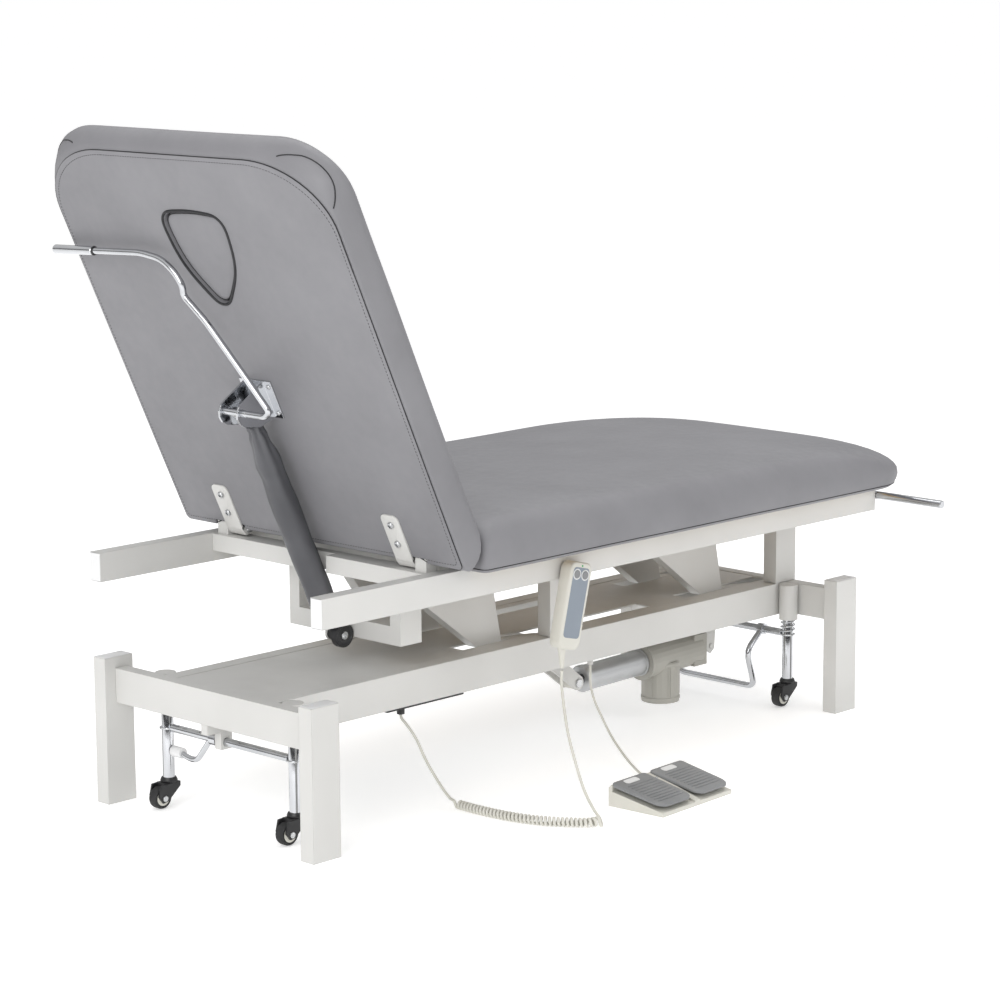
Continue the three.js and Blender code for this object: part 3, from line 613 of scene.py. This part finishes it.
def back_shape():
    """The back pad: a slightly full rear face, full sides, and a rolled lower front."""
    rear_edge = back_loop(0, 7, 741, 10)
    puff = heading(back, -1, 0, 0)
    rings = toward_centre(rear_edge, lambda f: puff * (1.5 * (1 - f ** 6)),
                          (0.02, 0.3, 0.55, 0.75, 0.88, 0.96))
    rings += [rear_edge, back_loop(0.6, 3.5, 745, 6.5), back_loop(3.0, 3.8, 745.5, 6),
              back_loop(4.2, 1.8, 749, 4)]
    for t, side_in, top in ((8, 0.6, 755), (15, -0.6, 761), (24, -1.2, 765), (36, -1.4, 767),
                            (46, -0.6, 765.5), (54, 2, 761), (61, 6.5, 754), (67, 13, 744),
                            (72, 23, 731), (75, 36, 716), (76, 52, 698)):
        rings.append(back_loop(t, side_in, top, lower_front(t)))
    rise = heading(back, 1, 0, 0)
    rings += toward_centre(rings[-1], lambda f: rise * (3.0 * (1 - f ** 3)),
                           (0.95, 0.86, 0.72, 0.55, 0.38, 0.2, 0.02))
    return rings


def plug_loop(inset, count=16, side_points=26):
    """The breathing hole's outline, a triangle with round corners and bowed sides, as (y, z)."""
    r = 26 - inset
    top = PLUG["top"] - 26
    corners = ((PLUG["half"] - 26, top, -12, 90, 3), (-PLUG["half"] + 26, top, 90, 192, 13),
               (0, PLUG["low"] + 26, 200, 340, 13))
    arcs = [[(cy + r * math.cos(math.radians(start + (end - start) * i / count)),
              cz + r * math.sin(math.radians(start + (end - start) * i / count)))
             for i in range(count + 1)] for cy, cz, start, end, _ in corners]
    line = []
    for k, arc in enumerate(arcs):
        line += arc
        a, b = arc[-1], arcs[(k + 1) % 3][0]
        run = math.dist(a, b)
        away = ((b[1] - a[1]) / run, (a[0] - b[0]) / run)
        for n in range(1, side_points + 1):
            f = n / (side_points + 1)
            push = corners[k][4] * math.sin(math.pi * f)
            line.append((a[0] + (b[0] - a[0]) * f + away[0] * push,
                         a[1] + (b[1] - a[1]) * f + away[1] * push))
    for _ in range(10):
        line = [((p[0] + q[0] + s[0]) / 3, (p[1] + q[1] + s[1]) / 3)
                for p, q, s in zip(line[-1:] + line[:-1], line, line[1:] + line[:1])]
    return line


def cut_away(obj, name, verts, faces):
    """Cuts a closed shape out of obj and leaves no helper behind."""
    mesh = bpy.data.meshes.new(name)
    mesh.from_pydata([tuple(v) for v in verts], [], faces)
    tool = link(name, mesh)
    outward(mesh)
    step = obj.modifiers.new("cut", "BOOLEAN")
    step.operation = "DIFFERENCE"
    step.solver = "EXACT"
    step.object = tool
    graph = bpy.context.evaluated_depsgraph_get()
    result = bpy.data.meshes.new_from_object(obj.evaluated_get(graph))
    obj.modifiers.clear()
    obj.data = result
    bpy.data.objects.remove(tool)


def box_shape(lo, hi, place):
    """Verts and faces of a plain box, for cutting."""
    corners = [place(x, y, z) for x in (lo[0], hi[0]) for y in (lo[1], hi[1])
               for z in (lo[2], hi[2])]
    return corners, [(0, 1, 3, 2), (4, 6, 7, 5), (0, 4, 5, 1), (2, 3, 7, 6), (0, 2, 6, 4),
                     (1, 5, 7, 3)]


def stitches(name, line, normals, body, length=3.6, gap=2.6, width=0.55):
    """A row of short raised threads laid on a surface line."""
    total = length_of(line)
    count = int(total * 1000 / (length + gap))
    spots = resample(line, count * 2)
    verts, faces = [], []
    for i in range(0, len(spots) - 1, 2):
        a, b = spots[i], spots[i + 1]
        d = (b - a).normalized()
        mid = (a + b) / 2
        n = normals(mid)
        side = d.cross(n).normalized() * (width / 1000)
        reach = d * (length / 2000)
        base = len(verts)
        lift = n * (width / 1000)
        verts += [mid - reach - side, mid - reach + side, mid + reach + side, mid + reach - side,
                  mid - reach * 0.6 + lift, mid + reach * 0.6 + lift]
        faces += [(base, base + 1, base + 4), (base + 1, base + 2, base + 5, base + 4),
                  (base + 2, base + 3, base + 5), (base + 3, base, base + 4, base + 5),
                  (base + 3, base + 2, base + 1, base)]
    return piece(name, verts, faces, "thread", body)


def on_surface(tree, points, lift=0.0):
    """The points moved to the nearest spots of a surface, and lift off it."""
    out = []
    for p in points:
        co, n, _, _ = tree.find_nearest(p)
        out.append(co + n * lift)
    return out


def surface(obj):
    bm = bmesh.new()
    bm.from_mesh(obj.data)
    tree = BVHTree.FromBMesh(bm)
    bm.free()
    return tree


def make_seat():
    seat = piece("seat_pad", *loft(seat_shape()), "vinyl", None, angle=60)
    swell(seat, 0.0009, 5)
    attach(seat, "upper_frame")
    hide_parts("seat_cushion")
    tree = surface(seat)

    def edge(side_in, foot_in, head_in, z):
        loop = rounded_loop(SEAT["x0"] + head_in, SEAT["x1"] - foot_in, -SEAT["half"] + side_in,
                            SEAT["half"] - side_in,
                            [FOOT_CORNER, HEAD_CORNER, HEAD_CORNER, FOOT_CORNER], 14, 40)
        return on_surface(tree, [mm(x, y, z) for x, y in loop])

    low = edge(2, 9, 2.5, SEAT["z0"] + 6)
    bar("seat_seam", low, 0.9, "seam", "upper_frame", 8, closed=True)
    board = rounded_box("seat_base_board", (SEAT["x0"] + 22, -322, 433.4),
                        (SEAT["x1"] - 44, 322, 444), 46, "plywood", "upper_frame", mm)
    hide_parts("seat_board")


def make_back():
    pad = piece("back_pad", *loft(back_shape()), "vinyl", None, angle=60)
    swell(pad, 0.0008, 5)
    hole = plug_loop(0)
    cut_away(pad, "hole_tool", *loft([[back(x, y, z) for y, z in hole] for x in (-30, 90)]))
    for sign in SIDES.values():
        y0, y1 = sorted((sign * 186, sign * 263))
        cut_away(pad, "notch_tool", *box_shape((-14, y0, -22), (17, y1, 16), back))
    shade(pad.data, 50)
    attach(pad, "backrest")
    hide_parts("back_cushion", "back_panel")
    tree = surface(pad)

    seam = on_surface(tree, back_loop(1.8, 3.0, 746, 6))
    bar("back_edge_seam", seam, 1.0, "seam", "backrest", 8, closed=True)
    row = on_surface(tree, back_loop(-0.5, 10, 738, 14.5), 0.0001)
    stitches("back_stitching", row + row[:1], lambda p: tree.find_nearest(p)[1], "backrest")
    for side, sign in SIDES.items():
        arc = []
        for i in range(41):
            share = i / 40
            a = math.radians(69 - 64 * share)
            depth = REAR + 1 + 35 * math.sin(math.pi * share) ** 0.7
            arc.append(back(depth, sign * (192 + 153 * math.cos(a)), 655 + 108 * math.sin(a)))
        laid = on_surface(tree, arc)
        laid = [(p + q + r) / 3 for p, q, r in zip(laid, laid[1:], laid[2:])]
        bar(f"back_corner_seam_{side}", on_surface(tree, laid), 1.1, "seam", "backrest", 8)
    for name, x in (("rear", REAR - 1.2), ("front", REAR + THICK + 1.6)):
        rim = on_surface(tree, [back(x, y * 1.02, 557 + (z - 557) * 1.02) for y, z in plug_loop(-1)])
        bar(f"hole_piping_{name}", rim, 2.5, "seam", "backrest", 10, closed=True)


def make_plug():
    """The plug of the breathing hole, a small pad with a piped edge on each face."""
    rear, front = REAR + 3.5, REAR + THICK - 1
    rings = []
    for x, inset in ((rear - 1.8, 24), (rear - 1.5, 14), (rear - 0.6, 7), (rear + 1, 3.6),
                     (rear + 4, 2.6), (rear + 20, 2.2), (front - 20, 2.2), (front - 5, 2.6),
                     (front - 1.5, 4.5), (front + 0.2, 9), (front + 1.4, 16), (front + 1.8, 24)):
        rings.append([back(x, y, z) for y, z in plug_loop(inset)])
    rings = (toward_centre(rings[0], lambda f: Vector(), (0.03, 0.5))
             + rings + toward_centre(rings[-1], lambda f: Vector(), (0.5, 0.03)))
    plug = piece("plug_pad", *loft(rings), "vinyl", "face_plug_body", angle=60)
    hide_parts("face_plug")
    seam = [back(rear + 0.2, y, z) for y, z in plug_loop(4.6)]
    bar("plug_seam", seam, 0.8, "seam", "face_plug_body", 8, closed=True)


make_seat()
make_back()
make_plug()


# ---- Gas spring, in millimetres along it from its lower pivot ----
SLEEVE_LOW = 27
SLEEVE_TOP = 418
GATHER_FROM = 240               # the cloth is smooth below this and gathered above
SLEEVE_LEAST = 11.2             # no part of the cloth comes nearer to the axis


def spring_line():
    """The lower pivot, the direction to the upper one, and the length in millimetres."""
    low = mm(SPRING_LOW[0], 0, SPRING_LOW[1])
    top = back(SPRING_TOP[0], 0, SPRING_TOP[1])
    return low, (top - low).normalized(), (top - low).length * 1000


def make_spring():
    low, along, length = spring_line()
    _, u, v = frame_of(along)
    outline = [(27, 14.5), (28, 21), (32, 23), (60, 23.4), (120, 23.0), (200, 23.4), (262, 23.6),
               (300, 22.4), (322, 21.4), (344, 22.8), (362, 20.4), (380, 17.2), (396, 16.4),
               (404, 13.4), (410, 12.4), (415, 13.8), (418, 12.2)]
    sides, levels = 72, 96
    rings = []
    for k in range(levels):
        h = SLEEVE_LOW + (SLEEVE_TOP - SLEEVE_LOW) * k / (levels - 1)
        radius = value_at(h, outline)
        gather = max(0, (h - GATHER_FROM) / (SLEEVE_TOP - GATHER_FROM))
        ring = []
        for i in range(sides):
            a = 2 * math.pi * i / sides
            fold = math.sin(a * 7 + 0.6) * 1.3 * gather + noise.noise(
                Vector((math.cos(a) * 1.4, math.sin(a) * 1.4, h / 42))) * (1.0 + 2.6 * gather)
            seam = -1.1 * math.exp(-((a - 3.9) / 0.05) ** 2)
            r = max(SLEEVE_LEAST, radius + fold + seam) / 1000
            ring.append(low + along * (h / 1000) + (u * math.cos(a) + v * math.sin(a)) * r)
        rings.append(ring)
    sleeve = piece("spring_sleeve", *loft(rings), "dark_vinyl", "gas_spring_body", angle=70)
    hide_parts("gas_spring_sleeve")
    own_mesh(sleeve)
    turned("spring_cap_screw", mm(SPRING_LOW[0], -23.2, SPRING_LOW[1]), (0, -1, 0),
           ((0, 7), (2.4, 7), (3.0, 6.2), (3.0, 3.4), (1.2, 3.2), (1.2, 0.1)), "steel", "upper_frame")
    turned("spring_cap_rim", mm(SPRING_LOW[0], -22.6, SPRING_LOW[1]), (0, -1, 0),
           ((0, 20.8), (1.4, 20.8), (2.2, 19.6), (2.2, 16), (1.1, 15), (1.1, 8)), "black_plastic",
           "upper_frame", sides=56)
    turned("rod_eye", low + along * ((length - 18) / 1000), along,
           ((0, 7), (1.5, 8.9), (14, 8.9), (16, 8.2), (17, 5)), "steel", "gas_rod_body")


# ---- Bent bars ----
def make_locking_lever():
    """The bent lever that frees the gas spring, with its pin, grip, collar and tongue."""
    body = "release_lever_body"
    lever = [(-32, 363, 561), (-32, 136, 571), (-32, 88, 563), (-36, 62, 543), (-40, 49, 521),
             (-42, 54, 503), (-50, 11, 463), (-62, -45, 385), (-75, -96, 318), (-75, -80, 307),
             (-75, -26, 307)]
    rod = bar("lever_bar", fillet([back(*p) for p in lever], 0.016), 5.5, "chrome", body)
    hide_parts("release_lever")
    bar("lever_pin", [back(-75, -36, 307), back(-75, 30, 307)], 6, "chrome", body)
    grip = [back(-32, 262 + i * 8, 565.4 - i * 0.335) for i in range(14)]
    bar("lever_grip", grip, 7.6, "chrome", body, 28)
    bar("lever_collar", [back(-32, 258.5, 565.6), back(-32, 262, 565.4)], 8.0, "black_plastic",
        body, 28)
    bar("lever_tongue", [back(-76, 0, 305), back(-69, 0, 296)], 4.2, "steel", body)


def make_foot_rail():
    """The round bar across the foot end and the two stubs that hold it."""
    rail = bar("foot_rail", [mm(1438, y, 410) for y in range(-440, 441, 40)], 7.5, "chrome",
               "upper_frame", 28)
    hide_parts("foot_bar")
    for side, sign in SIDES.items():
        y0, y1 = sorted((sign * 267.5, sign * 284.5))
        rounded_box(f"foot_rail_stub_{side}", (1398, y0, 390), (1439, y1, 426), 3, "white_paint",
                    "upper_frame", mm)


def cross_shaft(name, x, body):
    """The shaft between two castor legs that their lever turns on."""
    bar(name, [mm(x, y, SHAFT_Z) for y in (-147, 147)], 7, "chrome", body, 24)


def make_castor_pedal():
    """The bail pedal at the foot end, bent from one bar."""
    x = CASTOR_X["foot"]
    body = "castor_pedal_body"
    bail = [(x, 97, SHAFT_Z), (1287, 97, 103), (1312, 97, 29), (1312, -97, 29), (1287, -97, 103),
            (x, -97, SHAFT_Z)]
    pedal = bar("pedal_bail", fillet([mm(*p) for p in bail], 0.02), 6, "chrome", body)
    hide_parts("castor_pedal_foot")
    cross_shaft("pedal_shaft", x, body)
    for side, sign in SIDES.items():
        turned(f"pedal_collar_{side}", mm(x, sign * 90, SHAFT_Z), (0, sign, 0),
               ((0, 7.5), (0, 10.4), (14, 10.4), (14, 7.5)), "chrome", body)


def make_castor_lever():
    """The hooked lever at the head end, with a pale sleeve on its tip."""
    x = CASTOR_X["head"]
    body = "castor_lever_body"
    hook = [(x, 47, SHAFT_Z), (x, 66, 116), (x, 84, 95), (x, 104, 94), (x, 126, 100)]
    lever = bar("castor_hook", fillet([mm(*p) for p in hook], 0.012), 5, "chrome", body)
    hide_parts("castor_lever_head")
    cross_shaft("castor_shaft", x, body)
    turned("castor_hook_sleeve", mm(x, 121, 100), (0, 1, 0),
           ((0, 6), (0, 8.6), (1, 9.4), (24, 9.4), (25.5, 8.6), (25.5, 5)), "blank_white", body,
           slot="white_paint")
    turned("castor_shaft_collar", mm(x, 27, SHAFT_Z), (0, 1, 0),
           ((0, 7.2), (0, 11.5), (16, 11.5), (16, 7.2)), "chrome", body)


# ---- Fasteners, castors and small parts ----
def socket_screw(name, at, direction, r, body):
    """The head of a socket screw of radius r, hollow in the middle."""
    return turned(name, at, direction, ((0, r), (r * 0.25, r), (r * 0.55, r * 0.86),
                                        (r * 0.7, r * 0.6), (r * 0.7, r * 0.46),
                                        (r * 0.2, r * 0.42), (r * 0.2, 0.1)), "steel", body, 24)


def rounded_strap(name, lo, hi):
    """A hinge strap: a plate with two round top corners whose foot turns in to the barrel."""
    face = REAR - 3.5
    r, shoulder = 12, 84
    outline = [(lo, 6), (hi, 6), (hi, shoulder)]
    outline += [(hi - r + r * math.cos(math.radians(a)), shoulder + r * math.sin(math.radians(a)))
                for a in range(10, 91, 10)]
    outline += [(lo + r - r * math.sin(math.radians(a)), shoulder + r * math.cos(math.radians(a)))
                for a in range(0, 91, 10)]
    rings = [[back(face + dx, y, z) for y, z in outline] for dx in (3.2, 0.4)]
    rings.append([back(face, lo + (y - lo) * 0.97 + 0.5, z) for y, z in outline])
    strap_verts, strap_faces = loft(rings)
    base = len(strap_verts)
    web_verts, web_faces = loft([[back(x, y, z) for x, y, z in (
        (face + 0.2, w, 12), (face + 0.2, w, 4), (REAR, w, -7), (3, w, -7),
        (3, w, 3), (face + 3.2, w, 9))] for w in (lo, hi)])
    return piece(name, strap_verts + web_verts,
                 strap_faces + [tuple(i + base for i in f) for f in web_faces], "white_paint",
                 "backrest")


def make_hinges():
    face = REAR - 3.6
    rearward = heading(back, -1, 0, 0)
    for side, sign in SIDES.items():
        for k, z in enumerate((40, 77)):
            socket_screw(f"hinge_screw_{side}_{k}", back(face, sign * 211, z), rearward, 6.4,
                         "backrest")
        lo, hi = sorted((sign * 190.5, sign * 231.5))
        strap = rounded_strap(f"hinge_strap_{side}", lo, hi)
        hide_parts(f"hinge_bracket_{side}")
        bar(f"hinge_barrel_{side}", [mm(HINGE[0], lo, HINGE[1]), mm(HINGE[0], hi, HINGE[1])], 8,
            "white_paint", "backrest", 28)
        bar(f"hinge_pin_head_{side}", [mm(HINGE[0], sign * 188, HINGE[1]),
                                       mm(HINGE[0], sign * 191.6, HINGE[1])], 6, "steel",
            "upper_frame", 24)
    for k, (y, z) in enumerate(((-34, 322), (27, 322), (-34, 272), (27, 272))):
        socket_screw(f"clevis_screw_{k}", back(face - 0.6, y, z), rearward, 4.2, "backrest")


def spring_coil(name, centre, z0, z1, radius, wire, turns, mat, body, per_turn=20):
    """An upright wire spring; radius is to the middle of the wire, and wire is its own radius."""
    route = []
    for i in range(turns * per_turn + 1):
        a = 2 * math.pi * i / per_turn
        z = z0 + (z1 - z0) * i / (turns * per_turn)
        route.append(mm(centre[0] + radius * math.cos(a), centre[1] + radius * math.sin(a), z))
    return bar(name, route, wire, mat, body, 10)


def make_castor(end, side):
    x, y = CASTOR_X[end], CASTOR_Y[side]
    tag = f"{end}_{side}"
    wheel_x, wheel_z = x - 20, 20
    leg = turned(f"leg_{tag}", mm(x, y, 51), (0, 0, 1),
                 ((0, 9.4), (0.8, 10.4), (118, 10.4), (120, 9.6), (150, 9.6), (151, 9)), "chrome",
                 f"castor_leg_{tag}_body")
    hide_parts(f"castor_leg_{tag}")
    if end == "foot":
        spring_coil(f"leg_spring_{tag}", (x, y), 142, 167, 12.8, 1.5, 3, "chrome", "base")
    turned(f"leg_washer_{tag}", mm(x, y, SHAFT_Z), (0, 0, -1),
           ((0, 10.5), (0, 14), (2.4, 14), (2.4, 10.5)), "steel", "base")
    tread = turned(f"tread_{tag}", mm(wheel_x, y - 9, wheel_z), (0, 1, 0),
                   ((-0.4, 3.4), (-0.4, 8), (1.2, 9), (1.6, 13.6), (0.2, 14.6), (0.2, 16.6),
                    (1.4, 18.2), (4, 18.95), (9, 19), (14, 18.95), (16.6, 18.2), (17.8, 16.6),
                    (17.8, 14.6), (16.4, 13.6), (16.8, 9), (18.4, 8), (18.4, 3.4)), "tyre",
                   f"castor_wheel_{tag}_body", 56)
    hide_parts(f"castor_wheel_{tag}")
    for k, sign in enumerate((-1, 1)):
        turned(f"hub_{tag}_{k}", mm(wheel_x, y + sign * 8.2, wheel_z), (0, sign, 0),
               ((0, 13.2), (0.7, 13.2), (1.0, 12.6), (0.7, 8.4), (1.3, 8.2), (1.3, 3)),
               "ivory_plastic", f"castor_wheel_{tag}_body")
        turned(f"axle_head_{tag}_{k}", mm(wheel_x, y + sign * 13.5, wheel_z), (0, sign, 0),
               ((0, 5.2), (1.6, 5.2), (2.4, 4.4), (2.6, 2)), "steel",
               f"castor_fork_{tag}_body", 24)
    turned(f"swivel_{tag}", mm(x, y, 44), (0, 0, 1),
           ((0, 13.2), (1.6, 14.6), (4, 14.8), (6.6, 13.6), (8.6, 12.6), (8.6, 10.6)),
           "black_plastic", f"castor_fork_{tag}_body")


def make_lift_details():
    """The crank pins, and the actuator's tube, screw, eye, motor bands, ribs and collar."""
    pin_x, pin_z = CRANK_PIN
    for side, sign, y in (("near", -1, -58.2), ("far", 1, -21.8)):
        turned(f"crank_pin_{side}", mm(pin_x, y, pin_z), (0, sign, 0),
               ((0, 8), (2.6, 8), (3.4, 7.2), (3.4, 3)), "steel", "lift_arm_head_body", 28)
    start, stop = mm(1225, ACTUATOR_Y, 118), mm(pin_x, ACTUATOR_Y, pin_z)
    along = (stop - start).normalized()
    tube = turned("actuator_sleeve", start + along * 0.1825, along,
                  ((0, 20), (0, 25.4), (3, 25.4), (4, 24), (152, 24), (153, 25.2), (162, 25.2),
                   (163.5, 24.4), (164.5, 22), (164.5, 13), (160, 12.4)), "aluminium", "actuator", 56)
    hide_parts("actuator_tube")
    turned("actuator_eye", mm(pin_x, ACTUATOR_Y - 10, pin_z), (0, 1, 0),
           ((0, 6), (0, 12), (1, 13), (19, 13), (20, 12), (20, 6)), "ivory_plastic",
           "actuator_rod_body", 40, slot="steel")
    rod = bar("actuator_screw", [start + along * 0.2, start + along * 0.366], 9.6, "chrome",
              "actuator_rod_body", 32, slot="steel")
    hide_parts("actuator_rod")
    # The motor bands, ribs and collar take the darkened ivory as well: painted shade under the seat.
    for k, z in enumerate((36, 102)):
        turned(f"motor_band_{k}", mm(MOTOR_X, ACTUATOR_Y, z), (0, 0, 1),
               ((0, 35.5), (0, 36.6), (1.0, 37), (5.0, 37), (6, 36.6), (6, 35.5)),
               "beige_plastic", "actuator", 64)
    for k, degrees in enumerate((196, 204, 246, 254, 318, 326)):
        a = math.radians(degrees)
        cx, cy = MOTOR_X + 35.8 * math.cos(a), ACTUATOR_Y + 35.8 * math.sin(a)
        bar(f"motor_rib_{k}", [mm(cx, cy, 44), mm(cx, cy, 100)], 1.0, "beige_plastic",
            "actuator", 8)
    turned("motor_collar", start + along * 0.176, along,
           ((0, 33), (0, 34.2), (1, 35), (6, 35), (6.2, 30), (6.2, 26)), "beige_plastic",
           "actuator", 56)


def make_rail_ends():
    """White caps on the upper rails and the posts, and black pads under the posts."""
    for side, sign in SIDES.items():
        y0, y1 = sorted((sign * 263.6, sign * 288.9))
        rounded_box(f"rail_cap_{side}", (11.2, y0, 383.6), (13.2, y1, 432.4), 0.9, "blank_white",
                    "upper_frame", mm, slot="white_paint")
        for end, x in (("head", 30), ("foot", 1368)):
            y0, y1 = sorted((sign * 243.8, sign * 272.2))
            rounded_box(f"post_cap_{end}_{side}", (x - 29.2, y0, 254.4), (x + 29.2, y1, 256), 2,
                        "blank_white", "base", mm, slot="white_paint")
            rounded_box(f"post_foot_{end}_{side}", (x - 29.4, y0 - 0.3, 0.1),
                        (x + 29.4, y1 + 0.3, 1.6), 2, "black_plastic", "base", mm)


# ---- Hand control and foot switch ----
def make_handset():
    """The hand control: tapered shell, hook, strain relief, blank panel, two keys and a lamp."""
    t, half_w, half_h = HANDSET["t"], HANDSET["w"] / 2, HANDSET["h"] / 2

    def drill(obj, x, z, radius):
        """A round well in the front face."""
        spot = circle_at(x, z, radius)
        cut_away(obj, "well_tool", *loft([[hand(px, y, pz) for px, pz in spot]
                                          for y in (-t / 2 - 3, -t / 2 + 5)]))

    rings = []
    for y, inset in ((-t / 2 - 0.2, 4.4), (-t / 2 - 0.1, 3), (-t / 2 + 0.6, 1.2),
                     (-t / 2 + 2.4, 0.2), (0, 0), (t / 2 - 2.4, 0.2), (t / 2 - 0.6, 1.2),
                     (t / 2 - 0.1, 3), (t / 2, 4.4)):
        loop = rounded_loop(-half_w + inset, half_w - inset, -half_h + inset, half_h - inset,
                            [(13, 14)] * 4, 8, 6)
        rings.append([hand(x * (1 - 0.045 * (half_h - z) / HANDSET["h"]), y, z) for x, z in loop])
    shell = piece("handset_shell", *loft(rings), "ivory_plastic", None, angle=50)
    wells = [(-10.2, 54), (10.2, 54)]
    for x, z in wells:
        drill(shell, x, z, 8)
    shade(shell.data, 40)
    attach(shell, "upper_frame")
    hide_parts("handset_body")
    rounded_box("handset_hook", (-9, t / 2 - 1, 20), (9, t / 2 + 2.6, 66), 1.2, "steel",
                "upper_frame", hand, slot="ivory_plastic")
    out = heading(hand, 0, -1, 0)
    cord_exit = hand(-2, 2, -73)
    turned("handset_relief", cord_exit, mm(*HANDSET_CORD_DOWN[0]) - cord_exit,
           ((0, 8), (3, 7.6), (5, 6.4), (7, 6.6), (9, 5.7), (12, 6.1), (14, 5.2), (17, 5.6),
            (19, 4.7), (22, 5.1), (24, 4.3), (28, 4.6), (31, 3.9), (36, 3.3)), "ivory_plastic",
           "upper_frame", 32)
    loop = rounded_loop(-20, 20, -55, 66, [(7, 7)] * 4, 6, 4)
    label = [[hand(x, -t / 2 - y, z) for x, z in loop] for y in (-0.2, 0.35)]
    face = piece("handset_label", *loft(label), "label", None)
    for x, z in wells:
        drill(face, x, z, 8.6)
    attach(face, "upper_frame")
    for name, x in (("up", wells[0][0]), ("down", wells[1][0])):
        body = f"handset_button_{name}_body"
        key = turned(f"key_{name}", hand(x, -t / 2 + 2.5, 54), out,
                     ((0, 7.3), (3.2, 7.3), (3.9, 6.9), (4.2, 6), (4.0, 3), (3.8, 0.1)),
                     "grey_plastic", body, 40)
        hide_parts(f"handset_button_{name}")
        turned(f"key_ring_{name}", hand(x, -t / 2 - 0.2, 54), out,
               ((0, 8), (0, 9.6), (0.9, 9.2), (1.0, 8.4), (0.4, 7.9)), "blank_white",
               "upper_frame", 40)
    turned("handset_lamp", hand(0, -t / 2 - 0.3, 69), out,
           ((0, 1.7), (0.7, 1.5), (1.0, 0.8), (1.1, 0.1)), "green_lens", "upper_frame", 20)


def make_foot_pedals():
    """Domed pedals with rounded corners and shallow treads, and blank marker plates."""
    top_line = ((-56, 18.4), (-50, 21.4), (46, 41.4), (52, 41.8))
    low_line = ((-56, 15.0), (52, 34.0))
    for name, x0, x1 in (("up", -96.5, -8), ("down", 8, 96.5)):
        rings = []
        for lift, inset in ((0, 1.5), (0.25, 0), (0.8, 0), (1, 1.6), (1, 4)):
            loop = rounded_loop(x0 + inset, x1 - inset, -56 + inset, 52 - inset,
                                [(5, 5), (5, 5), (18, 18), (18, 18)], 8, 10)
            rings.append([foot(x, y, value_at(y, low_line) * (1 - lift)
                               + value_at(y, top_line) * lift) for x, y in loop])
        pedal = piece(f"pedal_{name}", *loft(rings), "grey_plastic", f"foot_pedal_{name}_body",
                      angle=50)
        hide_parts(f"foot_pedal_{name}")
        for k in range(9):
            y = -40 + k * 8
            z = value_at(y, top_line) + 0.1
            bar(f"tread_rib_{name}_{k}", [foot(x0 + 10, y, z), foot(x1 - 10, y, z)], 0.9,
                "grey_plastic", f"foot_pedal_{name}_body", 8)
        plate = [[foot(x, y, value_at(y, top_line) + h) for x, y in
                  rounded_loop(x0 + 20, x0 + 56, 32, 45, [(5, 5)] * 4, 4, 3)] for h in (0, 0.7)]
        piece(f"pedal_plate_{name}", *loft(plate), "blank_white", f"foot_pedal_{name}_body")


def make_foot_switch_details():
    socket_screw("ridge_screw", foot(0, 30, 33.2), (0, 0, 1), 2.6, "base")
    turned("foot_switch_relief", foot(6, 57, 14), heading(foot, 0, 1, 0),
           ((-3, 5.4), (3, 5.2), (5, 4.4), (8, 4.0), (9, 2.6)), "ivory_plastic", "base", 24)


make_spring()
make_locking_lever()
make_foot_rail()
make_castor_pedal()
make_castor_lever()
make_hinges()
for end in CASTOR_X:
    for side in CASTOR_Y:
        make_castor(end, side)
make_lift_details()
make_rail_ends()
make_handset()
make_foot_pedals()
make_foot_switch_details()


# ---- Stage ----
def area_light(name, place, target, size, power):
    """A rectangular light at a place, in metres, facing a target."""
    data = bpy.data.lights.new(name, "AREA")
    data.shape = "RECTANGLE"
    data.size, data.size_y = size
    data.energy = power
    obj = link(name, data)
    obj.location = place
    obj.rotation_euler = (Vector(target) - Vector(place)).to_track_quat("-Z", "Y").to_euler()


def make_stage():
    """A pale floor that runs past the view, a graded pale world and three soft lights."""
    reach = 120
    mesh = bpy.data.meshes.new("floor")
    mesh.from_pydata([(-reach, -reach, 0), (reach, -reach, 0), (reach, reach, 0),
                      (-reach, reach, 0)], [], [(0, 1, 2, 3)])
    floor = link("floor", mesh)
    s = Shader("studio_floor", 0.6, Specular_IOR_Level=0.1)
    put(s.bsdf, Base_Color=(0.88, 0.88, 0.88, 1), Emission_Color=(1, 1, 1, 1),
        Emission_Strength=0.42)
    mesh.materials.append(s.mat)
    world = bpy.data.worlds.new("studio")
    world.use_nodes = True
    nodes, links = world.node_tree.nodes, world.node_tree.links
    look = nodes.new("ShaderNodeTexCoord")
    height = nodes.new("ShaderNodeSeparateXYZ")
    ramp = nodes.new("ShaderNodeValToRGB")
    for stop, (place, grey) in zip(ramp.color_ramp.elements, ((0.06, 0.10), (0.42, 1.0))):
        stop.position = place
        stop.color = (grey, grey, grey, 1)
    links.new(look.outputs["Generated"], height.inputs["Vector"])
    links.new(height.outputs["Z"], ramp.inputs["Fac"])
    links.new(ramp.outputs["Color"], nodes["Background"].inputs["Color"])
    put(nodes["Background"], Strength=0.72)
    bpy.context.scene.world = world
    area_light("key", (-3.6, -1.3, 1.9), (0, 0, 0.5), (2.2, 2.2), 62)
    area_light("top", (0.4, 0.3, 3.6), (0, 0, 0.4), (3.2, 2.2), 55)
    area_light("fill", (1.6, -3.4, 1.5), (0.2, 0, 0.3), (2.6, 1.6), 26)
    bpy.context.scene.view_settings.view_transform = "Standard"


make_stage()
